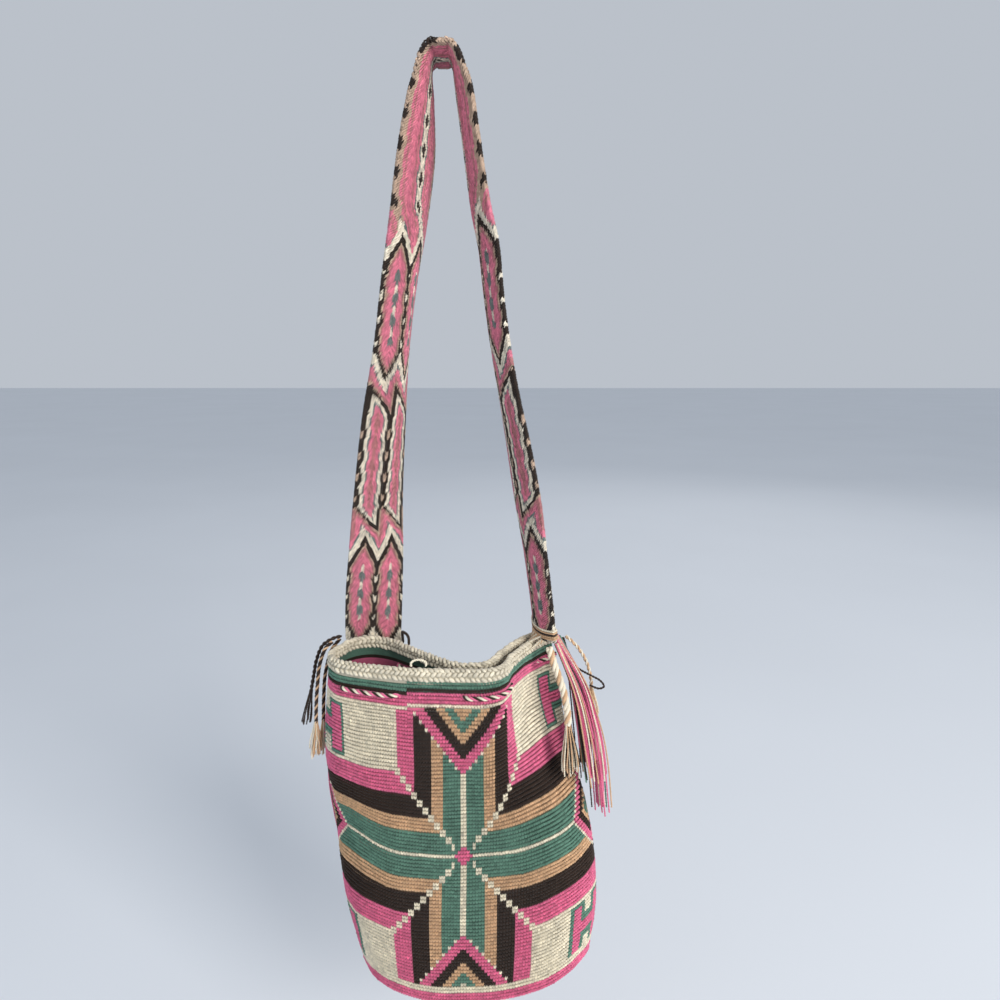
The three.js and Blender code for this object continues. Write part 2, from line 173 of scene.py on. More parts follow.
@dataclass
class GeometryTree:
    """A Geometry Nodes tree with named inputs, run once to make a plain mesh.

    Attributes:
        name: The tree's name.
        sockets: The named inputs after the geometry, as name to socket type.
        identifiers: The identifier of each named input.
    """

    name: str
    sockets: dict[str, str] = field(default_factory=dict)
    identifiers: dict[str, str] = field(default_factory=dict)

    def __post_init__(self) -> None:
        """Makes the tree with its interface."""
        self.tree = bpy.data.node_groups.new(self.name, "GeometryNodeTree")
        interface = self.tree.interface
        interface.new_socket(name="Geometry", in_out="INPUT", socket_type="NodeSocketGeometry")
        for name, kind in self.sockets.items():
            socket = interface.new_socket(name=name, in_out="INPUT", socket_type=kind)
            self.identifiers[name] = socket.identifier
        interface.new_socket(name="Geometry", in_out="OUTPUT", socket_type="NodeSocketGeometry")
        self.nodes = NodeBuilder(self.tree)
        self.inputs = self.nodes.add("NodeGroupInput").outputs
        self.build()

    def build(self) -> None:
        """Fills the tree. A kind of tree has its own."""

    def named(self, name: str, kind: str) -> bpy.types.NodeSocket:
        """The value of an attribute of the geometry."""
        node = self.nodes.add("GeometryNodeInputNamedAttribute", {"data_type": kind}, Name=name)
        return node.outputs["Attribute"]

    def finish(self, geometry: bpy.types.NodeSocket) -> None:
        """Ends the tree: real geometry, smooth, in the given material.

        Args:
            geometry: What the tree has made.
        """
        real = self.nodes.add("GeometryNodeRealizeInstances", Geometry=geometry)
        smooth = self.nodes.add("GeometryNodeSetShadeSmooth", Geometry=real.outputs[0])
        dressed = self.nodes.add(
            "GeometryNodeSetMaterial", Geometry=smooth.outputs[0], Material=self.inputs["Material"]
        )
        self.nodes.add("NodeGroupOutput", in0=dressed.outputs[0])

    def apply(
        self, source: bpy.types.Object, drop: Sequence[str] = (), **values: Any
    ) -> bpy.types.Object:
        """Runs the tree on an object and turns the result into its plain mesh.

        Args:
            source: The object that holds the points or paths.
            drop: Attributes that aren't needed afterwards.
            **values: The named inputs, with an underscore for each space.

        Returns:
            The same object with its new mesh.
        """
        modifier = source.modifiers.new(self.name, "NODES")
        modifier.node_group = self.tree
        for key, value in values.items():
            modifier[self.identifiers[key.replace("_", " ")]] = value
        depsgraph = bpy.context.evaluated_depsgraph_get()
        made = bpy.data.meshes.new_from_object(source.evaluated_get(depsgraph), depsgraph=depsgraph)
        source.modifiers.clear()
        source.data = made
        made.name = source.name
        for name in drop:
            if name in made.attributes:
                made.attributes.remove(made.attributes[name])
        return source


class StitchTree(GeometryTree):
    """Lays one copy of a stitch on each point, turned along the cloth."""

    def __init__(self) -> None:
        """Names the inputs."""
        super().__init__(
            "lay_stitches",
            {
                "Stitch": "NodeSocketObject",
                "Unevenness": "NodeSocketFloat",
                "Seed": "NodeSocketInt",
                "Material": "NodeSocketMaterial",
            },
        )

    def between(
        self, low: bpy.types.NodeSocket, high: bpy.types.NodeSocket
    ) -> bpy.types.NodeSocket:
        """A number between two others for each copy, by the seed.

        Args:
            low: The least it may be.
            high: The most it may be.

        Returns:
            The number.
        """
        inputs = {"in2": low, "in3": high, "Seed": self.inputs["Seed"]}
        return self.nodes.add(
            "FunctionNodeRandomValue", {"data_type": "FLOAT"}, **inputs
        ).outputs[1]

    def build(self) -> None:
        """Turns each copy by its point's out and up, and sizes it by its size."""
        n = self.nodes
        outwards = n.add(
            "FunctionNodeAlignRotationToVector",
            {"axis": "Z"},
            Vector=self.named("out", "FLOAT_VECTOR"),
        )
        upright = n.add(
            "FunctionNodeAlignRotationToVector",
            {"axis": "Y", "pivot_axis": "Z"},
            Rotation=outwards.outputs[0],
            Vector=self.named("up", "FLOAT_VECTOR"),
        )
        swing = n.math("MULTIPLY", self.inputs["Unevenness"], 0.5)
        turn = self.between(n.math("MULTIPLY", swing, -1.0), swing)
        about = n.add("ShaderNodeCombineXYZ", Z=turn)
        spin = n.add("FunctionNodeEulerToRotation", Euler=about.outputs[0])
        turned = n.add(
            "FunctionNodeRotateRotation",
            {"rotation_space": "LOCAL"},
            Rotation=upright.outputs[0],
            in1=spin.outputs[0],
        )
        smallest = n.math("SUBTRACT", 1.0, self.inputs["Unevenness"])
        largest = n.math("ADD", 1.0, self.inputs["Unevenness"])
        share = self.between(smallest, largest)
        size = n.vector("SCALE", in0=self.named("size", "FLOAT_VECTOR"), Scale=share)
        stitch = n.add("GeometryNodeObjectInfo", Object=self.inputs["Stitch"])
        laid = n.add(
            "GeometryNodeInstanceOnPoints",
            Points=self.inputs["Geometry"],
            Instance=stitch.outputs["Geometry"],
            Rotation=turned.outputs[0],
            Scale=size,
        )
        self.finish(laid.outputs[0])


class YarnTree(GeometryTree):
    """Twists plies round each path and gives them their thickness."""

    def __init__(self) -> None:
        """Names the inputs."""
        super().__init__(
            "twist_yarn",
            {
                "Plies": "NodeSocketInt",
                "Ply Radius": "NodeSocketFloat",
                "Twist Radius": "NodeSocketFloat",
                "Twist Pitch": "NodeSocketFloat",
                "Step": "NodeSocketFloat",
                "Sides": "NodeSocketInt",
                "Material": "NodeSocketMaterial",
            },
        )

    def build(self) -> None:
        """Resamples the paths, doubles them for each ply and sweeps a round section."""
        n = self.nodes
        path = n.add("GeometryNodeMeshToCurve", Mesh=self.inputs["Geometry"])
        even = n.add(
            "GeometryNodeResampleCurve",
            {"mode": "LENGTH"},
            Curve=path.outputs[0],
            Length=self.inputs["Step"],
        )
        plies = n.add(
            "GeometryNodeDuplicateElements",
            {"domain": "SPLINE"},
            Geometry=even.outputs[0],
            Amount=self.inputs["Plies"],
        )
        marked = n.add(
            "GeometryNodeStoreNamedAttribute",
            {"data_type": "FLOAT", "domain": "POINT"},
            Geometry=plies.outputs[0],
            Name="ply",
            Value=plies.outputs[1],
        )
        along = n.add("GeometryNodeSplineParameter").outputs["Length"]
        share = n.math("DIVIDE", self.named("ply", "FLOAT"), self.inputs["Plies"])
        turns = n.math("ADD", n.math("DIVIDE", along, self.inputs["Twist Pitch"]), share)
        angle = n.math("MULTIPLY", turns, math.tau)
        normal = n.add("GeometryNodeInputNormal").outputs[0]
        tangent = n.add("GeometryNodeInputTangent").outputs[0]
        side = n.vector("CROSS_PRODUCT", in0=tangent, in1=normal)
        ahead = n.vector("SCALE", in0=normal, Scale=n.math("COSINE", angle))
        beside = n.vector("SCALE", in0=side, Scale=n.math("SINE", angle))
        both = n.vector("ADD", in0=ahead, in1=beside)
        offset = n.vector("SCALE", in0=both, Scale=self.inputs["Twist Radius"])
        twisted = n.add("GeometryNodeSetPosition", Geometry=marked.outputs[0], Offset=offset)
        ring = n.add(
            "GeometryNodeCurvePrimitiveCircle",
            {"mode": "RADIUS"},
            Resolution=self.inputs["Sides"],
            Radius=self.inputs["Ply Radius"],
        )
        swept = n.add(
            "GeometryNodeCurveToMesh",
            Curve=twisted.outputs[0],
            Profile_Curve=ring.outputs[0],
            Fill_Caps=True,
        )
        self.finish(swept.outputs[0])


# ------------------------------------------------------------------------------ finishes


@dataclass(frozen=True)
class YarnFinish:
    """Cotton yarn whose colour is stored on the mesh.

    Attributes:
        name: The material's name.
        fibre: Fibre marks in a metre.
        shade: How much lighter and darker the yarn gets from place to place.
        depth: Height of the fibre bump in metres.
        sheen: Weight of the soft light at the yarn's edges.
        dim: Factor on the stored colour; below one it paints shade into the yarn.
        roughness: Roughness of the cotton.
        sheen_roughness: Spread of the soft light.
        specular: Level of the mirror light.
        bump: Strength of the fibre bump.
        cloud_share: How many fibres wide a patch of lighter or darker yarn is.
    """

    name: str
    fibre: float = 2400.0
    shade: float = 0.30
    depth: float = 0.0004
    sheen: float = 0.18
    dim: float = 1.0
    roughness: float = 0.92
    sheen_roughness: float = 0.45
    specular: float = 0.2
    bump: float = 0.7
    cloud_share: float = 30.0

    def material(self) -> bpy.types.Material:
        """Builds the node material.

        Returns:
            The new material.
        """
        made = bpy.data.materials.new(self.name)
        made.use_nodes = True
        n = NodeBuilder(made.node_tree)
        place = n.add("ShaderNodeTexCoord").outputs["Object"]
        dye = n.add("ShaderNodeAttribute", {"attribute_name": "yarn"}).outputs["Color"]
        fine = n.add(
            "ShaderNodeTexNoise", Vector=place, Scale=self.fibre, Detail=3.0, Roughness=0.7
        )
        patches = self.fibre / self.cloud_share
        wide = n.add("ShaderNodeTexNoise", Vector=place, Scale=patches, Detail=2.0, Roughness=0.5)
        fine_shade = n.add(
            "ShaderNodeMapRange",
            Value=fine.outputs[0],
            From_Min=0.3,
            From_Max=0.7,
            To_Min=(1 - self.shade) * self.dim,
            To_Max=(1 + self.shade) * self.dim,
        )
        wide_shade = n.add(
            "ShaderNodeMapRange",
            Value=wide.outputs[0],
            From_Min=0.3,
            From_Max=0.7,
            To_Min=0.9,
            To_Max=1.08,
        )
        value = n.math("MULTIPLY", fine_shade.outputs[0], wide_shade.outputs[0])
        colour = n.vector("SCALE", in0=dye, Scale=value)
        bump = n.add(
            "ShaderNodeBump", Strength=self.bump, Distance=self.depth, Height=fine.outputs[0]
        )
        cloth = n.add("ShaderNodeBsdfPrincipled", Base_Color=colour, Normal=bump.outputs[0])
        for socket, constant in {
            "Roughness": self.roughness,
            "Sheen Weight": self.sheen,
            "Sheen Roughness": self.sheen_roughness,
            "Specular IOR Level": self.specular,
        }.items():
            cloth.inputs[socket].default_value = constant
        n.add("ShaderNodeOutputMaterial", Surface=cloth.outputs[0])
        return made


@dataclass(frozen=True)
class PlainFinish:
    """A pale matt studio surface.

    Attributes:
        name: The material's name.
        colour: Linear colour.
        roughness: Roughness of the surface.
    """

    name: str
    colour: Vec3
    roughness: float = 0.95

    def material(self) -> bpy.types.Material:
        """Builds the node material with a faint unevenness.

        Returns:
            The new material.
        """
        made = bpy.data.materials.new(self.name)
        made.use_nodes = True
        n = NodeBuilder(made.node_tree)
        place = n.add("ShaderNodeTexCoord").outputs["Object"]
        cloud = n.add("ShaderNodeTexNoise", Vector=place, Scale=1.4, Detail=2.0)
        shade = n.add("ShaderNodeMapRange", Value=cloud.outputs[0], To_Min=0.97, To_Max=1.03)
        tint = n.vector("SCALE", in0=self.colour, Scale=shade.outputs[0])
        matt = n.add("ShaderNodeBsdfPrincipled", Base_Color=tint)
        matt.inputs["Roughness"].default_value = self.roughness
        n.add("ShaderNodeOutputMaterial", Surface=matt.outputs[0])
        return made


# --------------------------------------------------------------------------- small shapes


def unit(vectors: np.ndarray) -> np.ndarray:
    """Vectors scaled to length one."""
    return vectors / np.maximum(np.linalg.norm(vectors, axis=-1, keepdims=True), 1e-12)


def smooth_step(value: np.ndarray, start: float, end: float) -> np.ndarray:
    """Rises from 0 at start to 1 at end with no corners."""
    t = np.clip((value - start) / (end - start), 0, 1)
    return t * t * (3 - 2 * t)


def run_on(points: np.ndarray) -> np.ndarray:
    """The points with one more at each end, straight on."""
    return np.vstack([2 * points[:1] - points[1:2], points, 2 * points[-1:] - points[-2:-1]])


def cubic(
    p1: np.ndarray, p2: np.ndarray, start: np.ndarray, end: np.ndarray, t: np.ndarray
) -> np.ndarray:
    """A curve between two points.

    Args:
        p1: The first point.
        p2: The second point.
        start: Direction and speed at the first.
        end: Direction and speed at the second.
        t: Shares of the way, in a column.

    Returns:
        One point a share.
    """
    c2 = -3 * p1 + 3 * p2 - 2 * start - end
    c3 = 2 * p1 - 2 * p2 + start + end
    return p1 + start * t + c2 * t**2 + c3 * t**3


def centripetal_samples(points: np.ndarray, closed: bool, per_span: int) -> np.ndarray:
    """A smooth line through points, as the solids of the frame have it.

    Args:
        points: The points, one a row.
        closed: Whether the line ends where it begins.
        per_span: Samples from one point to the next.

    Returns:
        The samples, with the last point included.
    """
    count = len(points)
    spans = count if closed else count - 1
    padded = np.vstack([points[-1:], points, points[:2]]) if closed else run_on(points)
    t = np.linspace(0, 1, per_span, endpoint=False)[:, None]
    line = []
    for k in range(spans):
        p0, p1, p2, p3 = padded[k : k + 4]
        pairs = ((p0, p1), (p1, p2), (p2, p3))
        d0, d1, d2 = (max(math.sqrt(np.linalg.norm(b - a)), 1e-6) for a, b in pairs)
        start = ((p1 - p0) / d0 - (p2 - p0) / (d0 + d1) + (p2 - p1) / d1) * d1
        end = ((p2 - p1) / d1 - (p3 - p1) / (d1 + d2) + (p3 - p2) / d2) * d1
        line.append(cubic(p1, p2, start, end, t))
    line.append(padded[spans + 1][None])
    return np.vstack(line)


def resampled(line: np.ndarray, step: float) -> np.ndarray:
    """The same line with its points an even distance apart.

    Args:
        line: Points, one a row.
        step: Distance wanted between them.

    Returns:
        The new points, with both ends kept.
    """
    lengths = np.concatenate([[0], np.cumsum(np.linalg.norm(np.diff(line, axis=0), axis=1))])
    count = max(2, int(round(lengths[-1] / step)) + 1)
    at = np.linspace(0, lengths[-1], count)
    return np.column_stack([np.interp(at, lengths, line[:, k]) for k in range(line.shape[1])])


def belts(rows: int, count: int, closed: bool = True, flip: bool = False) -> list[tuple[int, ...]]:
    """Faces that join each row of points to the next.

    Args:
        rows: How many rows there are.
        count: Points in a row.
        closed: Whether a row's last point is joined to its first.
        flip: Whether the faces point the other way.

    Returns:
        Corner indices of each face.
    """
    faces: list[tuple[int, ...]] = []
    for k in range(rows - 1):
        for j in range(count if closed else count - 1):
            a, b = k * count + j, k * count + (j + 1) % count
            c, d = b + count, a + count
            faces.append((a, d, c, b) if flip else (a, b, c, d))
    return faces


def beside(line: np.ndarray, spread: np.ndarray, angle: np.ndarray) -> np.ndarray:
    """A path that goes round a line.

    Args:
        line: The middle line.
        spread: Distance from it at each point.
        angle: Direction from it at each point.

    Returns:
        One point a row.
    """
    run = unit(np.gradient(line, axis=0))
    side = unit(np.cross(run, np.array([0.0, 1.0, 0.12])))
    ahead = np.cross(run, side)
    over, up = (spread * np.cos(angle))[:, None], (spread * np.sin(angle))[:, None]
    return line + side * over + ahead * up


def spindle(spine: Sequence[Vec3], radii: Sequence[float], depth: float, sides: int) -> Solid:
    """A fat bit of yarn that comes to a point at both ends.

    Args:
        spine: Points along it in the XY plane, with z as height.
        radii: Half width at each point between the two ends.
        depth: Height of the section as a share of its width.
        sides: Corners of the section.

    Returns:
        Vertices and faces.
    """
    line = np.array(spine, float)
    vertices: list[Vec3] = [tuple(line[0])]
    faces: list[tuple[int, ...]] = []
    for k, radius in enumerate(radii, start=1):
        along = unit(line[k + 1] - line[k - 1])
        across = np.array([along[1], -along[0], 0.0])
        for j in range(sides):
            angle = math.tau * j / sides
            lift = np.array([0, 0, math.sin(angle) * depth])
            vertices.append(tuple(line[k] + radius * (across * math.cos(angle) + lift)))
    vertices.append(tuple(line[-1]))
    last = len(vertices) - 1
    for j in range(sides):
        following = (j + 1) % sides
        faces.append((0, 1 + j, 1 + following))
        for k in range(len(radii) - 1):
            a, b = 1 + k * sides, 1 + (k + 1) * sides
            faces.append((a + j, b + j, b + following, a + following))
        top = 1 + (len(radii) - 1) * sides
        faces.append((last, top + following, top + j))
    return vertices, faces


def template(name: str, parts: Sequence[Solid]) -> bpy.types.Object:
    """Joins spindles into one object that the stitch tree copies. It doesn't show.

    Args:
        name: The object's name.
        parts: Vertices and faces of each spindle.

    Returns:
        The hidden object.
    """
    vertices: list[Vec3] = []
    faces: list[tuple[int, ...]] = []
    for points, corners in parts:
        start = len(vertices)
        vertices.extend(points)
        faces.extend(tuple(start + c for c in corner) for corner in corners)
    made = mesh_object(name, np.array(vertices), faces)
    made.hide_render = True
    made.hide_viewport = True
    return made


class Templates:
    """The shapes of yarn that are repeated: a crochet stitch, a braid's bit and a fat knot."""

    def __init__(self) -> None:
        """Builds the three."""
        legs = []
        for side in (-1, 1):
            spine = [
                (0.02 * side, -0.66, -0.1),
                (0.15 * side, -0.26, 0.12),
                (0.27 * side, 0.20, 0.12),
                (0.30 * side, 0.62, -0.1),
            ]
            legs.append(spindle(spine, (0.225, 0.235), 1.5, 4))
        self.stitch = template("stitch_shape", legs)
        flat = [(0, -0.5, -0.05), (0, -0.2, 0.05), (0, 0.2, 0.05), (0, 0.5, -0.05)]
        self.bit = template("braid_bit_shape", [spindle(flat, (0.5, 0.5), 1.0, 4)])
        round_spine = [(0, y, 0.12 - 0.6 * y * y) for y in (-0.5, -0.3, 0, 0.3, 0.5)]
        self.knot = template("edging_knot_shape", [spindle(round_spine, (0.42, 0.5, 0.42), 1.0, 7)])

    def discard(self) -> None:
        """Takes the shapes out of the file once everything is laid."""
        for shape in (self.stitch, self.bit, self.knot):
            bpy.data.objects.remove(shape)


@dataclass(frozen=True)
class Twist:
    """How plies are twisted into yarn, in millimetres.

    Attributes:
        plies: Plies twisted together.
        ply_radius: Half the thickness of one ply.
        radius: How far a ply's middle lies from the path.
        pitch: Length of one turn of the twist.
        step: Distance between sections.
        sides: Corners of a section.
    """

    plies: int
    ply_radius: float
    radius: float
    pitch: float
    step: float
    sides: int


@dataclass
class Workshop:
    """What every class needs: the trees, the templates and the materials."""

    stitches: StitchTree
    yarn: YarnTree
    shapes: Templates
    crochet: bpy.types.Material
    cloth: bpy.types.Material
    braid: bpy.types.Material
    cord: bpy.types.Material
    seed: int = 7

    def lay(
        self,
        name: str,
        shape: bpy.types.Object,
        places: Sequence[np.ndarray],
        material: bpy.types.Material,
        unevenness: float,
    ) -> bpy.types.Object:
        """Lays copies of a shape.

        Args:
            name: The piece's name.
            shape: The template to copy.
            places: Where each copy is, which way is out and up, its size and its RGBA, one
                row a copy, in millimetres.
            material: What the piece is dressed in.
            unevenness: How much the copies differ in size and turn.

        Returns:
            The piece.
        """
        at, out, up, size, tint = places
        made = mesh_object(name, at * MM)
        for key, values in (("out", out), ("up", up), ("size", size * MM)):
            add_vectors(made.data, key, values)
        add_dye(made.data, np.clip(tint, 0, 1))
        return self.stitches.apply(
            made,
            drop=("out", "up", "size"),
            Stitch=shape,
            Unevenness=unevenness,
            Seed=self.seed,
            Material=material,
        )

    def spin(
        self,
        name: str,
        paths: Sequence[np.ndarray],
        dyes: Sequence[Yarn],
        by_ply: bool,
        twist: Twist,
    ) -> bpy.types.Object:
        """Makes twisted yarn along paths.

        Args:
            name: The piece's name.
            paths: Lines of points in metres.
            dyes: One yarn a ply if by_ply, or one a path.
            by_ply: Whether the plies differ rather than the paths.
            twist: How the plies are twisted.

        Returns:
            The piece.
        """
        points = np.vstack(paths)
        edges = []
        start = 0
        for path in paths:
            edges += [(start + k, start + k + 1) for k in range(len(path) - 1)]
            start += len(path)
        made = mesh_object(name, points, edges=edges)
        if not by_ply:
            rows = [np.tile(palette(dye), (len(path), 1)) for path, dye in zip(paths, dyes)]
            add_dye(made.data, np.vstack(rows))
        self.yarn.apply(
            made,
            drop=() if by_ply else ("ply",),
            Plies=twist.plies,
            Ply_Radius=twist.ply_radius * MM,
            Twist_Radius=twist.radius * MM,
            Twist_Pitch=twist.pitch * MM,
            Step=twist.step * MM,
            Sides=twist.sides,
            Material=self.cord,
        )
        if by_ply:
            ply = np.zeros(len(made.data.vertices), np.float32)
            made.data.attributes["ply"].data.foreach_get("value", ply)
            made.data.attributes.remove(made.data.attributes["ply"])
            add_dye(made.data, palette(*dyes)[np.clip(np.rint(ply).astype(int), 0, len(dyes) - 1)])
        return made


def place(piece: bpy.types.Object, slot: str, *nodes: str) -> bpy.types.Object:
    """Lets a piece ride on the bag and hides the solids that it stands for.

    Args:
        piece: The finished piece.
        slot: The record's finish. It is not used.
        *nodes: The solids that it replaces.

    Returns:
        The same piece.
    """
    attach(piece, BODY)
    if nodes:
        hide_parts(*nodes)
    LOG.info("%s: %d vertices", piece.name, len(piece.data.vertices))
    return piece


# -------------------------------------------------------------------- the wall's surface

# Height and outline in millimetres, from the front star's axis past +X, the back and -X.
OUTLINES: tuple[tuple[float, tuple[tuple[float, float], ...]], ...] = (
    (-543, (
        (15, -45), (38, -45), (52, -37), (62, -10), (78, 20), (96, 46), (104, 55), (99, 60),
        (87, 51), (68, 27), (52, -1), (40, -27), (15, -33), (-8, -20), (-27, -4), (-46, 14),
        (-60, 29), (-77, 38), (-92, 38), (-104, 30), (-113, 14), (-119, -4), (-110, -21),
        (-88, -31), (-60, -38), (-25, -44),
    )),
    (-600, (
        (15, -50), (36, -50), (51, -41), (62, -14), (78, 18), (97, 42), (112, 54), (106, 63),
        (86, 55), (60, 28), (36, 5), (13, -2), (-14, 10), (-42, 28), (-70, 41), (-97, 43),
        (-117, 28), (-125, 4), (-113, -18), (-85, -34), (-50, -45), (-18, -50),
    )),
    (-655, (
        (15, -56), (42, -53), (62, -36), (84, -8), (106, 22), (120, 46), (112, 64), (72, 62),
        (20, 54), (-35, 54), (-85, 50), (-118, 30), (-128, 4), (-115, -22), (-84, -42),
        (-46, -53), (-15, -57),
    )),
    (-729, (
        (15, -62), (45, -59), (75, -51), (103, -34), (127, -8), (141, 20), (136, 48),
        (112, 62), (60, 66), (5, 64), (-50, 60), (-95, 44), (-119, 16), (-117, -10),
        (-94, -34), (-56, -56), (-20, -62),
    )),
    (-800, (
        (14, -68), (58, -63), (98, -47), (131, -20), (151, 10), (149, 40), (126, 61),
        (78, 70), (22, 72), (-36, 66), (-85, 50), (-113, 20), (-113, -8), (-96, -36),
        (-64, -57), (-24, -67),
    )),
    (-850, (
        (14, -71), (56, -67), (96, -53), (131, -25), (151, 5), (149, 34), (126, 57),
        (80, 71), (28, 75), (-30, 68), (-78, 48), (-103, 18), (-104, -9), (-87, -38),
        (-56, -60), (-22, -70),
    )),
    (-884, (
        (14, -72), (54, -68), (92, -56), (125, -32), (145, -2), (144, 28), (121, 53),
        (80, 69), (28, 73), (-26, 66), (-68, 46), (-92, 18), (-95, -9), (-79, -40),
        (-51, -60), (-20, -70),
    )),
)


@dataclass
class WallSurface:
    """The middle of the crocheted cloth, by stitch number and height in millimetres."""

    stitches: int = 220
    rim_z: float = -543.0
    base_z: float = -890.0
    row: float = 3.7
    star_z: float = -729.0
    top_row: int = 46
    bottom_row: int = -42
    jog: float = -19.0
    pull_stitch: float = -46.0
    pull_rows: float = 2.6
    pull_wide: float = 16.0
    pull_high: float = 14.0
    climb_rows: tuple[int, int] = (32, 41)
    samples: int = 40

    def __post_init__(self) -> None:
        """Tabulates each outline by its share of the way round."""
        self.heights = np.array([z for z, _ in OUTLINES], float)
        self.tables = []
        for _, points in OUTLINES:
            line = centripetal_samples(np.array(points, float), True, self.samples)
            steps = np.linalg.norm(np.diff(line, axis=0), axis=1)
            share = np.concatenate([[0], np.cumsum(steps)]) / steps.sum()
            self.tables.append((share, line))

    def middle(self, stitch: np.ndarray, z: np.ndarray) -> np.ndarray:
        """Points in the middle of the cloth.

        Args:
            stitch: Stitch numbers round the bag.
            z: Heights.

        Returns:
            One point a row, in millimetres.
        """
        stitch, z = np.broadcast_arrays(np.asarray(stitch, float), np.asarray(z, float))
        share = np.mod(stitch, self.stitches) / self.stitches
        flat = np.stack([
            np.stack([np.interp(share, s, line[:, k]) for k in (0, 1)], -1)
            for s, line in self.tables
        ])
        last = len(self.heights) - 2
        k = np.clip(np.searchsorted(-self.heights[1:], -z, side="left"), 0, last)

        def level(i: np.ndarray) -> tuple[np.ndarray, np.ndarray]:
            """Height and outline points of a level for each place."""
            i = np.clip(i, 0, last + 1)
            return self.heights[i], np.take_along_axis(flat, i[None, ..., None], 0)[0]

        (z0, p0), (z1, p1), (z2, p2), (z3, p3) = (level(k + d) for d in (-1, 0, 1, 2))
        span = z2 - z1
        t = np.clip((z - z1) / span, 0, 1)[..., None]
        start = (p2 - p0) / (z2 - z0)[..., None] * span[..., None]
        end = (p3 - p1) / (z3 - z1)[..., None] * span[..., None]
        xy = (
            (2 * t**3 - 3 * t**2 + 1) * p1
            + (t**3 - 2 * t**2 + t) * start
            + (3 * t**2 - 2 * t**3) * p2
            + (t**3 - t**2) * end
        )
        return np.concatenate([xy, z[..., None]], -1)

    def frame(self, stitch: np.ndarray, z: np.ndarray) -> tuple[np.ndarray, ...]:
        """Where the cloth is and how it faces.

        Args:
            stitch: Stitch numbers round the bag.
            z: Heights.

        Returns:
            Middle, outward direction, upward direction and width of a stitch.
        """
        stitch, z = np.broadcast_arrays(np.asarray(stitch, float), np.asarray(z, float))
        across = self.middle(stitch + 0.5, z) - self.middle(stitch - 0.5, z)
        high = np.minimum(z + 2, self.rim_z)
        rise = self.middle(stitch, high) - self.middle(stitch, high - 4)
        outwards = unit(np.cross(across, rise))
        return self.middle(stitch, z), outwards, unit(rise), np.linalg.norm(across, axis=-1)

    def offset(
        self, stitch: np.ndarray, z: np.ndarray, outwards: float | np.ndarray
    ) -> np.ndarray:
        """Points at a level distance outwards from the middle of the cloth.

        Args:
            stitch: Stitch numbers round the bag.
            z: Heights.
            outwards: The distance, below zero towards the inside.

        Returns:
            One point a row, in millimetres.
        """
        stitch, z = np.broadcast_arrays(np.asarray(stitch, float), np.asarray(z, float))
        along = unit(self.middle(stitch + 1, z) - self.middle(stitch - 1, z))
        side = np.stack([along[..., 1], -along[..., 0], np.zeros_like(along[..., 0])], -1)
        return self.middle(stitch, z) + side * np.asarray(outwards, float)[..., None]

    def lift(self, stitch: np.ndarray, row: np.ndarray) -> np.ndarray:
        """Height of a row, which climbs by one in a round near the rim and is pulled at the left.

        Args:
            stitch: Stitch numbers round the bag.
            row: Rows above the middle of the star.

        Returns:
            Heights in millimetres.
        """
        half = self.stitches / 2
        round_share = np.mod(stitch - self.jog, self.stitches) / self.stitches
        climb = smooth_step(row, *self.climb_rows) * (0.5 - round_share)
        from_pull = np.mod(stitch - self.pull_stitch + half, self.stitches) - half
        fading = -((from_pull / self.pull_wide) ** 2) - (row / self.pull_high) ** 2
        pull = self.pull_rows * np.exp(fading)
        return self.star_z + self.row * (row + climb + pull)


# ------------------------------------------------------------------- the crocheted motif


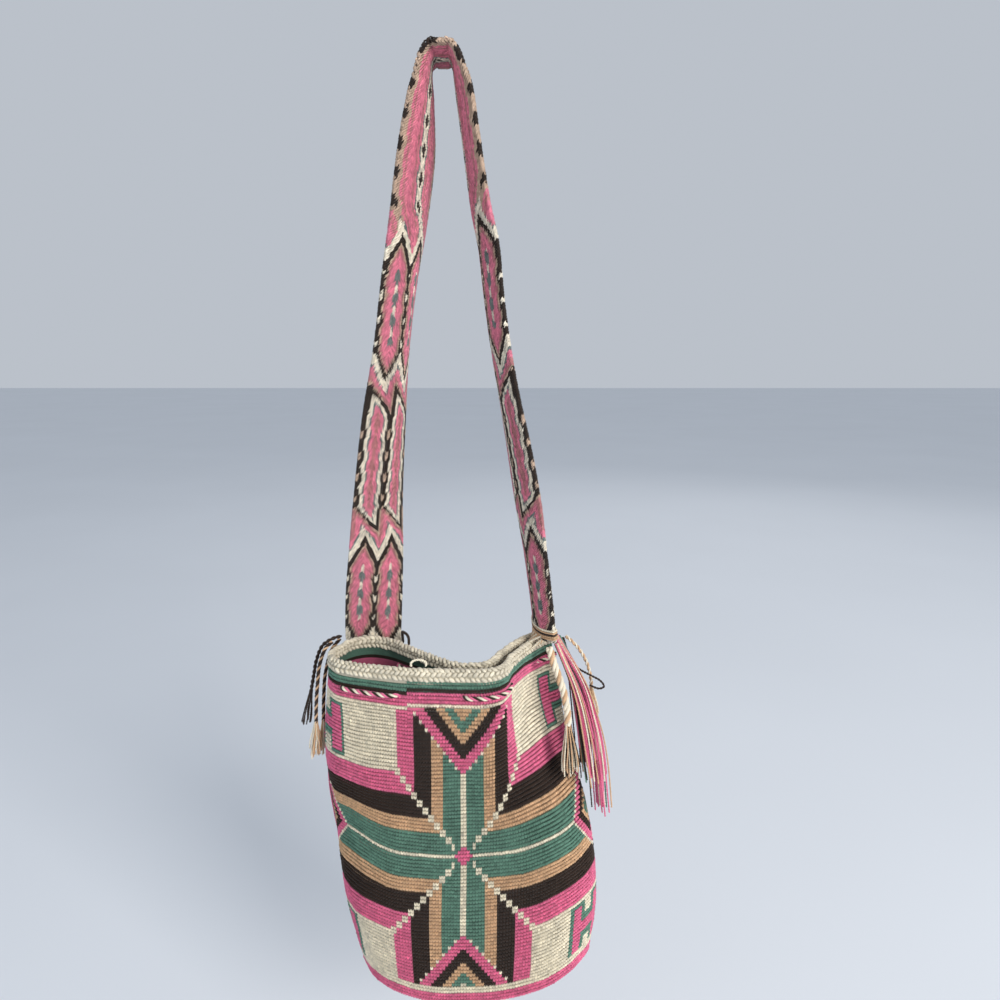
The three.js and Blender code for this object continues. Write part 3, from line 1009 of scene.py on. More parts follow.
@dataclass(frozen=True)
class StarPattern:
    """Which yarn each stitch of the wall has: two stars, and a diamond at each side.

    Sizes are counted in stitches and rows from the middle of a star.
    """

    arms: tuple[int, ...] = (1, 7, 11, 17, 23)
    tip: int = 22
    bottom: int = -38
    side: float = 55.0
    upper_figure: float = 53.5
    lower_figure: float = 49.0
    figure_row: float = 31.0
    heart: float = 3.1
    chevron_rows: tuple[int, ...] = (4, 4, 3, 3, 99)
    diamond_half: float = 12.0
    diamond_rows: tuple[float, ...] = (1.3, 3, 3, 2, 9)

    YARNS = (Yarn.CREAM, Yarn.PINK, Yarn.TEAL, Yarn.BLACK, Yarn.TAN)
    CREAM, PINK, TEAL, BLACK, TAN = range(5)

    def colours(self, stitch: np.ndarray, row: np.ndarray) -> np.ndarray:
        """RGBA of each stitch.

        Args:
            stitch: Stitch numbers, with the front star at 0.
            row: Rows above the middle of the star.

        Returns:
            One RGBA a stitch.
        """
        stitch, row = np.broadcast_arrays(np.asarray(stitch, float), np.asarray(row, float))
        x = np.mod(stitch + self.side, 2 * self.side) - self.side + 0.5
        across, up = np.abs(x), np.abs(row)
        made = np.full(stitch.shape, self.CREAM)
        made = self.arm_bands(made, across, up)
        made = self.nested_ends(made, across, up, row)
        made = self.diagonal_dots(made, x, row)
        made = self.side_motifs(made, stitch, row)
        made = self.borders(made, stitch, row)
        return palette(*self.YARNS)[made]

    def arm_bands(self, made: np.ndarray, across: np.ndarray, up: np.ndarray) -> np.ndarray:
        """Bands that run out of the middle in four arms.

        Args:
            made: The yarns so far.
            across: Stitches from the arm's middle.
            up: Rows from the star's middle, up or down.

        Returns:
            The yarns with the arms in.
        """
        order = (self.CREAM, self.TEAL, self.TAN, self.BLACK, self.PINK)
        inner = 0
        for outer, yarn in zip(self.arms, order):
            band = (across >= inner) & (across < outer) & (up >= across - 1)
            made = np.where(band, yarn, made)
            flat = up + 0.5
            band = (flat >= inner) & (flat < outer) & (across > up)
            made = np.where(band, yarn, made)
            inner = outer
        return np.where(across + up < self.heart, self.PINK, made)

    def nested_ends(
        self, made: np.ndarray, across: np.ndarray, up: np.ndarray, row: np.ndarray
    ) -> np.ndarray:
        """Nested chevrons that close the arms, and the diamonds that they leave at the sides.

        Args:
            made: The yarns so far.
            across: Stitches from the arm's middle.
            up: Rows from the star's middle, up or down.
            row: Rows above the star's middle.

        Returns:
            The yarns with these in.
        """
        order = (self.PINK, self.BLACK, self.TAN, self.TEAL, self.TAN)
        upper = up - across - self.tip
        inside = across < self.arms[-1]
        reach = 0
        for number, (yarn, width) in enumerate(zip(order, self.chevron_rows)):
            last = self.CREAM if number == len(order) - 1 else yarn
            fill = np.where(row > 0, yarn, last)
            made = np.where(inside & (upper >= reach) & (upper < reach + width), fill, made)
            reach += width
        dots = inside & (np.abs(upper + 0.5) < 0.6) & (np.mod(across, 2) < 1.2)
        made = np.where(dots, self.CREAM, made)
        depth = self.diamond_half - (self.side - across + up)
        order = (self.CREAM, self.PINK, self.BLACK, self.TAN, self.TEAL)
        reach = 0
        for yarn, width in zip(order, self.diamond_rows):
            made = np.where((depth >= reach) & (depth < reach + width), yarn, made)
            reach += width
        return made

    def diagonal_dots(self, made: np.ndarray, x: np.ndarray, row: np.ndarray) -> np.ndarray:
        """Cream dots of two by two stitches along the four diagonals.

        Args:
            made: The yarns so far.
            x: Stitches right of the star's middle.
            row: Rows above the star's middle.

        Returns:
            The yarns with the dots in.
        """
        across, up = np.floor(np.abs(x)), np.abs(row)
        dot = (np.floor(across / 2) == np.floor(up / 2)) & (across > 2) & (across < 24)
        return np.where(dot, self.CREAM, made)

    def side_motifs(self, made: np.ndarray, stitch: np.ndarray, row: np.ndarray) -> np.ndarray:
        """Two upright bars with a crossbar in each cream field, edged in teal.

        Args:
            made: The yarns so far.
            stitch: Stitch numbers round the bag.
            row: Rows above the star's middle.

        Returns:
            The yarns with the figures in.
        """
        round_half = 2 * self.side
        away = np.abs(np.mod(stitch + 0.5 + round_half, 2 * round_half) - round_half)
        from_middle = np.abs(away - np.where(row > 0, self.upper_figure, self.lower_figure))
        height = np.abs(np.abs(row) - self.figure_row)
        bar = (from_middle >= 2.5) & (from_middle <= 9.5) & (height <= 7)
        cross = (from_middle < 4) & (height <= 3)
        bar_fill = (from_middle >= 4) & (from_middle <= 8) & (height <= 6)
        cross_fill = (from_middle < 5) & (height <= 1.6)
        made = np.where(bar | cross, self.TEAL, made)
        return np.where(bar_fill | cross_fill, self.PINK, made)

    def borders(self, made: np.ndarray, stitch: np.ndarray, row: np.ndarray) -> np.ndarray:
        """Plain rounds under the rim and above the base.

        Args:
            made: The yarns so far.
            stitch: Stitch numbers round the bag.
            row: Rows above the star's middle.

        Returns:
            The yarns with the borders in.
        """
        for lowest, yarn in ((40, self.CREAM), (41, self.PINK), (44, self.BLACK), (45, self.TEAL)):
            made = np.where(row >= lowest, yarn, made)
        made = np.where(row <= self.bottom, self.CREAM, made)
        return np.where(row <= self.bottom - 2, self.PINK, made)


# --------------------------------------------------------------------------- the bag body


@dataclass
class BagBody:
    """The crocheted body: a thin closed cloth under thousands of stitches, and its base."""

    shop: Workshop
    wall: WallSurface
    pattern: StarPattern = field(default_factory=StarPattern)
    outer: float = 0.9
    inner: float = -1.9
    stitch_out: float = 1.25
    stitch_depth: float = 1.45
    base_rounds: int = 22
    edging_knots: int = 124
    foot: float = 6.0

    def build(self) -> None:
        """Builds and dresses every piece of the body."""
        self.cloth()
        rows = np.arange(self.wall.bottom_row, self.wall.top_row + 1)
        halves = {"front": np.arange(-55, 55), "back": np.arange(55, 165)}
        for side, columns in halves.items():
            for part, chosen in (("lower", rows[rows <= 2]), ("upper", rows[rows > 2])):
                self.stitches(f"crochet_{side}_{part}", columns, chosen)
        self.base()
        self.edging()

    def stitches(self, name: str, columns: np.ndarray, rows: np.ndarray) -> bpy.types.Object:
        """Lays the stitches of one part of the wall.

        Args:
            name: The piece's name.
            columns: Stitch numbers round the bag.
            rows: Rows above the middle of the star.

        Returns:
            The piece.
        """
        s, r = np.meshgrid(columns.astype(float), rows.astype(float))
        s, r = s.ravel(), r.ravel()
        rng = np.random.default_rng(3)
        at, out, up, width = self.wall.frame(s + 0.5, self.wall.lift(s, r))
        swell = 0.35 * np.sin(s * 0.43 + 0.9 * np.sin(r * 0.31)) * np.cos(r * 0.37 + 0.13 * s)
        at = at + out * (self.stitch_out + swell + rng.normal(0, 0.12, len(s)))[:, None]
        at[:, 2] += 0.4 * np.sin(s * 0.29 + r * 0.11) + rng.normal(0, 0.12, len(s))
        lean = unit(np.cross(up, out))
        up = unit(up + lean * (0.12 + rng.normal(0, 0.05, len(s)))[:, None])
        colours = self.pattern.colours(s, r)
        colours[:, :3] *= rng.normal(1, 0.09, (len(s), 1))
        high = np.full_like(width, self.wall.row * 0.93)
        deep = np.full_like(width, self.stitch_depth * 2.4)
        sizes = np.stack([width * 1.04, high, deep], -1)
        places = (at, out, up, sizes, colours)
        return self.crocheted(name, self.shop.shapes.stitch, places, 0.06)

    def crocheted(
        self,
        name: str,
        shape: bpy.types.Object,
        places: Sequence[np.ndarray],
        unevenness: float,
    ) -> bpy.types.Object:
        """Lays copies of a shape in the crochet's finish."""
        return place(self.shop.lay(name, shape, places, self.shop.crochet, unevenness), "crochet")

    def ring(self, z: float, outwards: float) -> np.ndarray:
        """One closed round of points, a stitch apart."""
        s = np.arange(self.wall.stitches, dtype=float)
        return self.wall.offset(s, np.full_like(s, z), outwards)

    def drawn_in(self, ring: np.ndarray, z: float, share: float) -> np.ndarray:
        """A ring scaled towards its middle at another height.

        Args:
            ring: The points.
            z: Height of the new ring.
            share: Size of the new ring as a share of the old.

        Returns:
            The new points.
        """
        centre = ring.mean(0)
        made = centre + (ring - centre) * share
        made[:, 2] = z
        return made

    def cloth(self) -> bpy.types.Object:
        """The closed cloth: outside, rim, inside with the rows' backs, and the base's two faces,
        dimmed by its material as painted shade between the stitches.

        Returns:
            The piece.
        """
        wall, base = self.wall, self.wall.base_z
        rings: list[np.ndarray] = []
        rows: list[float] = []

        def add(ring: np.ndarray, row: float) -> None:
            """Keeps a ring and the row that colours the belt above it."""
            rings.append(ring)
            rows.append(row)

        under = self.ring(base + self.foot, self.outer)
        for share in (0.02, 0.2, 0.4, 0.6, 0.8, 0.96):
            add(self.drawn_in(under, base + 1.4, share), -50)
        add(self.drawn_in(under, base + 2.8, 0.985), -41)
        for row in range(wall.bottom_row, wall.top_row + 1):
            add(self.ring(wall.star_z + wall.row * row, self.outer), row)
        rim = (
            (-555.5, 1.9), (-550, 2.1), (-546, 1.5), (-544.6, 0), (-546, -1.5), (-550, -2.1),
            (-555.5, -1.9),
        )
        for z, out in rim:
            add(self.ring(z, out), wall.top_row + 1)
        for row in range(wall.top_row, wall.bottom_row - 1, -1):
            middle = wall.star_z + wall.row * row
            add(self.ring(middle, self.inner - 0.75), row)
            add(self.ring(middle - wall.row / 2, self.inner + 0.65), row)
        over = self.ring(base + self.foot, self.inner)
        for share in (0.95, 0.8, 0.6, 0.4, 0.2, 0.02):
            add(self.drawn_in(over, base + 3.6, share), -50)

        count = wall.stitches
        last = (len(rings) - 1) * count
        faces = belts(len(rings), count)
        faces += [tuple(range(count - 1, -1, -1)), tuple(range(last, last + count))]
        tints = self.belt_tints(rows[1:], len(rings) // 2)
        made = mesh_object("bag_cloth", np.vstack(rings) * MM, faces)
        add_dye(made.data, np.vstack(tints), "CORNER")
        # The cloth's material dims it as painted shade, which shows between the stitches laid over
        # it.
        made.data.materials.append(self.shop.cloth)
        return place(made, "crochet", "bag_body")

    def belt_tints(self, rows: Sequence[float], inside: int) -> list[np.ndarray]:
        """Colours of the cloth, which is mottled on the inside where yarns cross behind it.

        Args:
            rows: The row that colours each belt of faces.
            inside: The last belt that isn't mottled.

        Returns:
            RGBA of every corner, a belt at a time, and of the two closing faces.
        """
        rng = np.random.default_rng(17)
        count = self.wall.stitches
        tints = []
        for k, row in enumerate(rows):
            colour = self.cloth_tint(np.arange(count, dtype=float), row)
            if k > inside:
                # Inside, each belt is lifted by about a third, which takes back part of the cloth's
                # painted shade, and the stitches are mottled.
                colour[:, :3] *= rng.uniform(0.95, 1.75, 3).mean()
                colour[:, :3] *= rng.uniform(0.75, 1.25, (count, 1))
            tints.append(np.repeat(colour, 4, axis=0))
        tints.append(np.tile(palette(Yarn.CREAM), (2 * count, 1)))
        return tints

    def cloth_tint(self, stitch: np.ndarray, row: float) -> np.ndarray:
        """Colour of the cloth under or behind one row.

        Args:
            stitch: Stitch numbers round the bag.
            row: The row, below the lowest for the base and above the highest for the rim.

        Returns:
            One RGBA a stitch.
        """
        if row > self.wall.top_row:
            return np.tile(palette(Yarn.CREAM), (len(stitch), 1))
        return self.pattern.colours(stitch, np.full_like(stitch, max(row, -44)))

    def base(self) -> bpy.types.Object:
        """Rounds of stitches under the bag, from the corner to the middle.

        Returns:
            The piece.
        """
        wall = self.wall
        outline = self.ring(wall.base_z + self.foot, 0.6)
        centre = outline.mean(0)
        at, up, size, tint = [], [], [], []
        bands = (
            (2, Yarn.PINK), (5, Yarn.CREAM), (7, Yarn.TEAL), (9, Yarn.CREAM),
            (11, Yarn.BLACK), (14, Yarn.CREAM), (17, Yarn.PINK), (99, Yarn.CREAM),
        )
        for k in range(self.base_rounds):
            share = 1 - (k + 0.55) / self.base_rounds
            count = max(5, int(round(wall.stitches * share)))
            s = np.arange(count) * wall.stitches / count
            edge = wall.offset(s, np.full(count, wall.base_z + self.foot), 0.6)
            spoke = edge - centre
            spoke[:, 2] = 0
            points = centre + spoke * share
            points[:, 2] = wall.base_z + (1.3 if k else 2.6)
            reach = np.linalg.norm(spoke, axis=1)
            at.append(points)
            up.append(unit(spoke))
            gap = np.linalg.norm(np.roll(points, -1, 0) - points, axis=1)
            size.append(np.stack([gap, reach / self.base_rounds, np.full(count, 2.4)], -1))
            yarn = next(y for limit, y in bands if k < limit)
            tint.append(np.tile(palette(yarn), (count, 1)))
        at, up, size, tint = (np.vstack(rows) for rows in (at, up, size, tint))
        out = np.tile([0.0, 0.0, -1.0], (len(at), 1))
        places = (at, out, up, size, tint)
        return self.crocheted("crochet_base", self.shop.shapes.stitch, places, 0.05)

    def edging(self) -> bpy.types.Object:
        """The plaited edging: slanted knots in lines outside, over and inside the rim.

        Returns:
            The piece.
        """
        wall = self.wall
        # Height, distance outwards, how far it faces outwards and upwards, and its lean.
        lines = (
            (-553.4, 2.1, 1.0, 0.0, 1), (-548.2, 2.0, 1.0, 0.25, -1),
            (-545.0, 0.9, 0.4, 1.0, 1), (-545.4, -1.0, -0.5, 0.9, -1),
            (-548.6, -2.0, -1.0, 0.2, 1), (-553.6, -2.1, -1.0, 0.0, -1),
        )
        rng = np.random.default_rng(11)
        count = self.edging_knots
        at, out, up, size = [], [], [], []
        for number, (z, away, sideways, upwards, lean) in enumerate(lines):
            s = (np.arange(count) + 0.5 * (number % 2)) * wall.stitches / count
            level_z = np.full(count, z)
            points = wall.offset(s, level_z, away)
            along = unit(wall.middle(s + 1, level_z) - wall.middle(s - 1, level_z))
            level = np.stack([along[:, 1], -along[:, 0], np.zeros(count)], -1)
            facing = unit(level * sideways + np.array([0, 0, upwards]))
            steep = unit(np.cross(along, facing)) * (1 if sideways >= 0 else -1)
            at.append(points + rng.normal(0, 0.25, (count, 3)))
            out.append(facing)
            up.append(unit(steep + along * lean * 1.15))
            gap = np.linalg.norm(np.roll(points, -1, 0) - points, axis=1)
            size.append(np.stack([np.full(count, 3.7), gap * 0.3 + 5.6, np.full(count, 3.3)], -1))
        at, out, up, size = (np.vstack(rows) for rows in (at, out, up, size))
        # The knots' cream is darkened to 0.84 on average, painted shade over the edging, with
        # random tone from knot to knot.
        tint = palette(Yarn.CREAM) * rng.normal(0.84, 0.08, (len(at), 1))
        tint[:, 3] = 1
        places = (at, out, up, size, tint)
        return self.crocheted("rim_edging", self.shop.shapes.knot, places, 0.16)


@dataclass
class Drawstring:
    """The twisted cord that closes the mouth, laced in and out of the wall."""

    shop: Workshop
    wall: WallSurface
    z: float = -570.5
    every: int = 22
    eyelet_half: float = 2.4
    reach: float = 4.95
    seam: float = 121.0
    seam_half: float = 2.5
    knot_size: float = 0.9
    cord_twist: Twist = Twist(3, 1.12, 1.18, 13, 0.9, 7)
    knot_twist: Twist = Twist(3, 0.75, 0.75, 8, 0.7, 6)

    def route(self) -> np.ndarray:
        """The cord's middle line in metres.

        Returns:
            Points half a stitch apart.
        """
        first = self.seam + self.seam_half
        last = self.seam + self.wall.stitches - self.seam_half
        s = np.arange(first, last + 0.1, 0.5)
        eyelet = np.rint(s / self.every)
        passing = np.clip((s - eyelet * self.every) / self.eyelet_half, -1, 1)
        side = np.where(eyelet % 2 == 0, 1, -1) * np.sin(passing * math.pi / 2)
        return self.wall.offset(s, np.full_like(s, self.z), self.reach * side) * MM

    def build(self) -> None:
        """Builds the cord and its knot inside the back wall."""
        dyes = (Yarn.PINK, Yarn.CREAM, Yarn.BLACK)
        cord = self.shop.spin("drawstring_cord", [self.route()], dyes, True, self.cord_twist)
        place(cord, "drawstring_yarn", "drawstring")
        low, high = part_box("drawstring_knot")
        middle = np.array((low + high) / 2)
        t = np.linspace(0, math.tau, 70)
        knot = np.stack(
            [np.sin(t) + 2 * np.sin(2 * t), np.cos(t) - 2 * np.cos(2 * t), -np.sin(3 * t)], -1
        )
        loops = middle + knot * self.knot_size * MM
        ball = self.shop.spin("drawstring_knot_loops", [loops], dyes, True, self.knot_twist)
        place(ball, "drawstring_yarn", "drawstring_knot")


# --------------------------------------------------------------------------------- strap

# Middle in millimetres, swing of the front edge and curl in degrees, left end to right end.
STRAP_STATIONS: tuple[tuple[float, float, float, float, float], ...] = (
    (-85, 45.5, -557, 88, 8), (-85, 45, -541, 88, 8), (-82, 42, -502, 78, 10),
    (-77, 38, -458, 63, 12), (-70, 33, -394, 48, 17), (-59, 27, -314, 38, 23),
    (-47, 21, -247, 27, 28), (-37, 15, -183, 26, 27), (-29.5, 11, -139, 27, 22),
    (-20, 6, -76, 26, 18), (-13.6, 2, -31, 14, 20), (-12, 0, -14, 5, 18),
    (-10.4, 0, -4, 0, 16), (-7, 0, 2, 0, 12), (-4, 0, 2, 0, 10), (0, 0, 2, 0, 10),
    (4, 0, 2, 0, 10), (7, 0, 2, 0, 12), (10.6, 0, -4, 0, 16), (12.4, 0, -14, -1, 24),
    (14.4, 1, -31, -4, 34), (20, 3, -72, -5, 35), (26.5, 6, -122, -8, 37),
    (33.5, 8, -156, -11, 35), (38.5, 10, -200, -11, 32), (45, 13, -247, -11, 32),
    (53.5, 16, -294, -14, 29), (62.5, 19, -343, -20, 29), (71, 22, -394, -23, 29),
    (79, 25, -446, -19, 29), (86, 28, -500, -17, 32), (89, 30, -526, -16, 32),
    (91, 31, -540, -16, 32),
)


@dataclass
class StrapSurface:
    """The strap as a curled band, by distance along and across it in millimetres."""

    width: float = 58.0
    folds: int = 5
    samples: int = 12

    def __post_init__(self) -> None:
        """Samples the middle line and the band's form along it."""
        stations = np.array(STRAP_STATIONS, float)
        padded = run_on(stations)
        t = np.linspace(0, 1, self.samples, endpoint=False)[:, None]
        samples = []
        for k in range(len(stations) - 1):
            p0, p1, p2, p3 = padded[k : k + 4]
            samples.append(cubic(p1, p2, (p2 - p0) / 2, (p3 - p1) / 2, t))
        line = np.vstack(samples + [stations[-1:]])
        self.line = line
        steps = np.linalg.norm(np.diff(line[:, :3], axis=0), axis=1)
        self.along = np.concatenate([[0], np.cumsum(steps)])
        self.length = float(self.along[-1])

    def at(self, along: np.ndarray, across: np.ndarray, side: float) -> dict[str, np.ndarray]:
        """Places on the band.

        Args:
            along: Distance from the left end.
            across: Distance from the middle, towards the front edge.
            side: Distance from the middle of the thickness, towards the outer face.

        Returns:
            Arrays at, out, run and across, in millimetres.
        """
        along, across = np.broadcast_arrays(
            np.asarray(along, float), np.asarray(across, float)
        )
        values = [np.interp(along, self.along, self.line[:, k]) for k in range(5)]
        ahead = [np.interp(along + 1.5, self.along, self.line[:, k]) for k in range(3)]
        behind = [np.interp(along - 1.5, self.along, self.line[:, k]) for k in range(3)]
        middle = np.stack(values[:3], -1)
        run = unit(np.stack(ahead, -1) - np.stack(behind, -1))
        turn = np.radians(values[3])
        edge = np.stack([-np.sin(turn), -np.cos(turn), np.zeros_like(turn)], -1)
        edge = unit(edge - run * np.sum(edge * run, -1, keepdims=True))
        outwards = np.cross(edge, run)
        bend = np.maximum(np.radians(values[4]) / 2 / (self.width / self.folds), 1e-5)
        angle = bend * across
        reach = np.sin(angle) / bend
        height = (1 - np.cos(angle)) / bend
        normal = outwards * np.cos(angle)[..., None] - edge * np.sin(angle)[..., None]
        tangent = edge * np.cos(angle)[..., None] + outwards * np.sin(angle)[..., None]
        point = middle + edge * reach[..., None] + outwards * height[..., None] + normal * side
        facing = normal * (1 if side >= 0 else -1)
        return {"at": point, "out": facing, "run": run, "across": tangent}


@dataclass(frozen=True)
class LozengePattern:
    """The strap's braided figures, the same from either end to the top.

    Lengths are millimetres from the end of the strap, or across it from its middle.
    """

    half_width: float = 29.0
    column: float = 14.5
    first_foot: float = 3.0
    first_tip: float = 117.0
    low_edge: float = 164.0
    high_edge: float = 243.0
    second_foot: float = 290.0
    second_tip: float = 411.0

    YARNS = (
        Yarn.STRAP_BLACK, Yarn.STRAP_TAN, Yarn.STRAP_PINK, Yarn.STRAP_GREY, Yarn.STRAP_WHITE,
        Yarn.STRAP_ROSE,
    )
    BLACK, TAN, PINK, GREY, WHITE, ROSE = range(6)
    LENGTHS = {BLACK: 9, WHITE: 11, GREY: 3, PINK: 8, ROSE: 6, TAN: 3}
    RISING = (BLACK, WHITE, GREY, PINK, ROSE, TAN, BLACK)
    FALLING = (BLACK, TAN, ROSE, PINK, GREY, WHITE, BLACK)

    def colours(self, along: np.ndarray, across: np.ndarray, length: float) -> np.ndarray:
        """RGBA at each place of the strap.

        Args:
            along: Distance from the left end.
            across: Distance from the middle.
            length: Length of the strap.

        Returns:
            One RGBA a place.
        """
        v = np.minimum(along, length - along)
        u = across / self.half_width
        shifts = ((120, 160), (246, 288), (414, 452))
        drift = sum(0.5 * smooth_step(v, a, b) for a, b in shifts)
        x = np.abs(np.mod(u - drift, 1.0) - 0.5) * self.half_width
        rising, falling = v + 2 * x, v - 2 * x
        made = np.full(v.shape, self.PINK)
        dark = self.dark_lozenge(x, v, rising, falling, self.first_foot, self.first_tip)
        made = np.where(rising < self.first_tip, dark, made)
        made = self.bands(made, rising, self.first_tip, self.RISING)
        light = self.light_lozenge(x, v, rising, falling)
        made = np.where((rising >= self.low_edge) & (v < 300), light, made)
        made = self.bands(made, falling, self.high_edge, self.FALLING)
        dark = self.dark_lozenge(x, v, rising, falling, self.second_foot, self.second_tip)
        made = np.where((falling >= self.second_foot) & (v < 440), dark, made)
        made = self.bands(made, np.where(v > 350, rising, 0), self.second_tip, self.RISING[:3])
        chain = self.chained(x, u, v)
        made = np.where((rising >= self.second_tip + 21) & (v > 350), chain, made)
        made = np.where((falling < self.first_foot) & (falling >= -7), self.BLACK, made)
        made = np.where(falling < -7, self.WHITE, made)
        return palette(*self.YARNS)[made]

    def bands(
        self, made: np.ndarray, distance: np.ndarray, start: float, yarns: Sequence[int]
    ) -> np.ndarray:
        """Zigzag stripes one after another, each as long as its yarn usually is.

        Args:
            made: The yarns so far.
            distance: Slanted distance of each place.
            start: Where the first stripe begins.
            yarns: The stripes' yarns in order.

        Returns:
            The yarns with the stripes in.
        """
        for yarn in yarns:
            end = start + self.LENGTHS[yarn]
            made = np.where((distance >= start) & (distance < end), yarn, made)
            start = end
        return made

    def diamonds(
        self, x: np.ndarray, v: np.ndarray, pitch: float, wide: float, high: float
    ) -> np.ndarray:
        """Small diamonds in a chain."""
        return x / wide + np.abs(np.mod(v, pitch) - pitch / 2) / high < 1

    def dark_lozenge(
        self,
        x: np.ndarray,
        v: np.ndarray,
        rising: np.ndarray,
        falling: np.ndarray,
        foot: float,
        tip: float,
    ) -> np.ndarray:
        """A pink lozenge with a grey core, between black chains.

        Args:
            x: Distance from the lozenge's middle.
            v: Distance from the strap's nearer end.
            rising: Slanted distance that grows away from the middle.
            falling: Slanted distance that shrinks away from it.
            foot: Where the lozenge begins.
            tip: Where it ends.

        Returns:
            The yarns.
        """
        wave = 2.9 + 1.0 * np.cos(math.tau * (v / 22 - 0.5))
        from_chain = self.column - x
        depth = np.minimum(from_chain - wave, np.minimum(tip - rising, falling - foot) / 2.2)
        made = np.where(depth < 1.3, self.TAN, np.where(depth < 3.4, self.ROSE, self.PINK))
        core = (x < 2.3 + 0.7 * np.cos(math.tau * v / 20)) & (depth > 5)
        core = core & (v > foot + 28) & (v < tip - 24)
        made = np.where(core, self.GREY, made)
        made = np.where(core & self.diamonds(x, v, 20, 2.2, 6), self.WHITE, made)
        chain = from_chain < wave
        made = np.where(chain, self.BLACK, made)
        return np.where(chain & self.diamonds(from_chain, v, 22, 1.7, 5.5), self.WHITE, made)

    def light_lozenge(
        self, x: np.ndarray, v: np.ndarray, rising: np.ndarray, falling: np.ndarray
    ) -> np.ndarray:
        """A pink lozenge with a cream edge, beside a black chain.

        Args:
            x: Distance from the middle of the figure.
            v: Distance from the strap's nearer end.
            rising: Slanted distance that grows away from the middle.
            falling: Slanted distance that shrinks away from it.

        Returns:
            The yarns.
        """
        wave = 3.8 + 1.1 * np.cos(math.tau * (v / 22 - 0.5))
        from_ends = np.minimum(rising - self.low_edge, self.high_edge - falling)
        depth = np.minimum(x - wave, from_ends / 2.2)
        made = np.where(depth < 3.6, self.WHITE, np.where(depth < 4.9, self.GREY, self.PINK))
        made = np.where(depth > 8.6, self.ROSE, made)
        made = np.where(x < wave, self.BLACK, made)
        return np.where(self.diamonds(x, v, 22, 2.2, 6), self.TAN, made)

    def chained(self, x: np.ndarray, u: np.ndarray, v: np.ndarray) -> np.ndarray:
        """Pink columns beside a cream chain that holds black diamonds.

        Args:
            x: Distance from the middle of the figure.
            u: Place across the strap as a share of half its width.
            v: Distance from the strap's nearer end.

        Returns:
            The yarns.
        """
        wave = 3.9 + 1.0 * np.cos(math.tau * (v / 24 - 0.5))
        made = np.where(x < wave, self.WHITE, np.where(x < wave + 1.4, self.GREY, self.PINK))
        made = np.where((x > 7.6) & (x < 10.2), self.ROSE, made)
        made = np.where((np.abs(u) > 0.55) & (x < wave + 1.4), self.TAN, made)
        return np.where(self.diamonds(x, v, 24, 3.0, 7.5), self.BLACK, made)


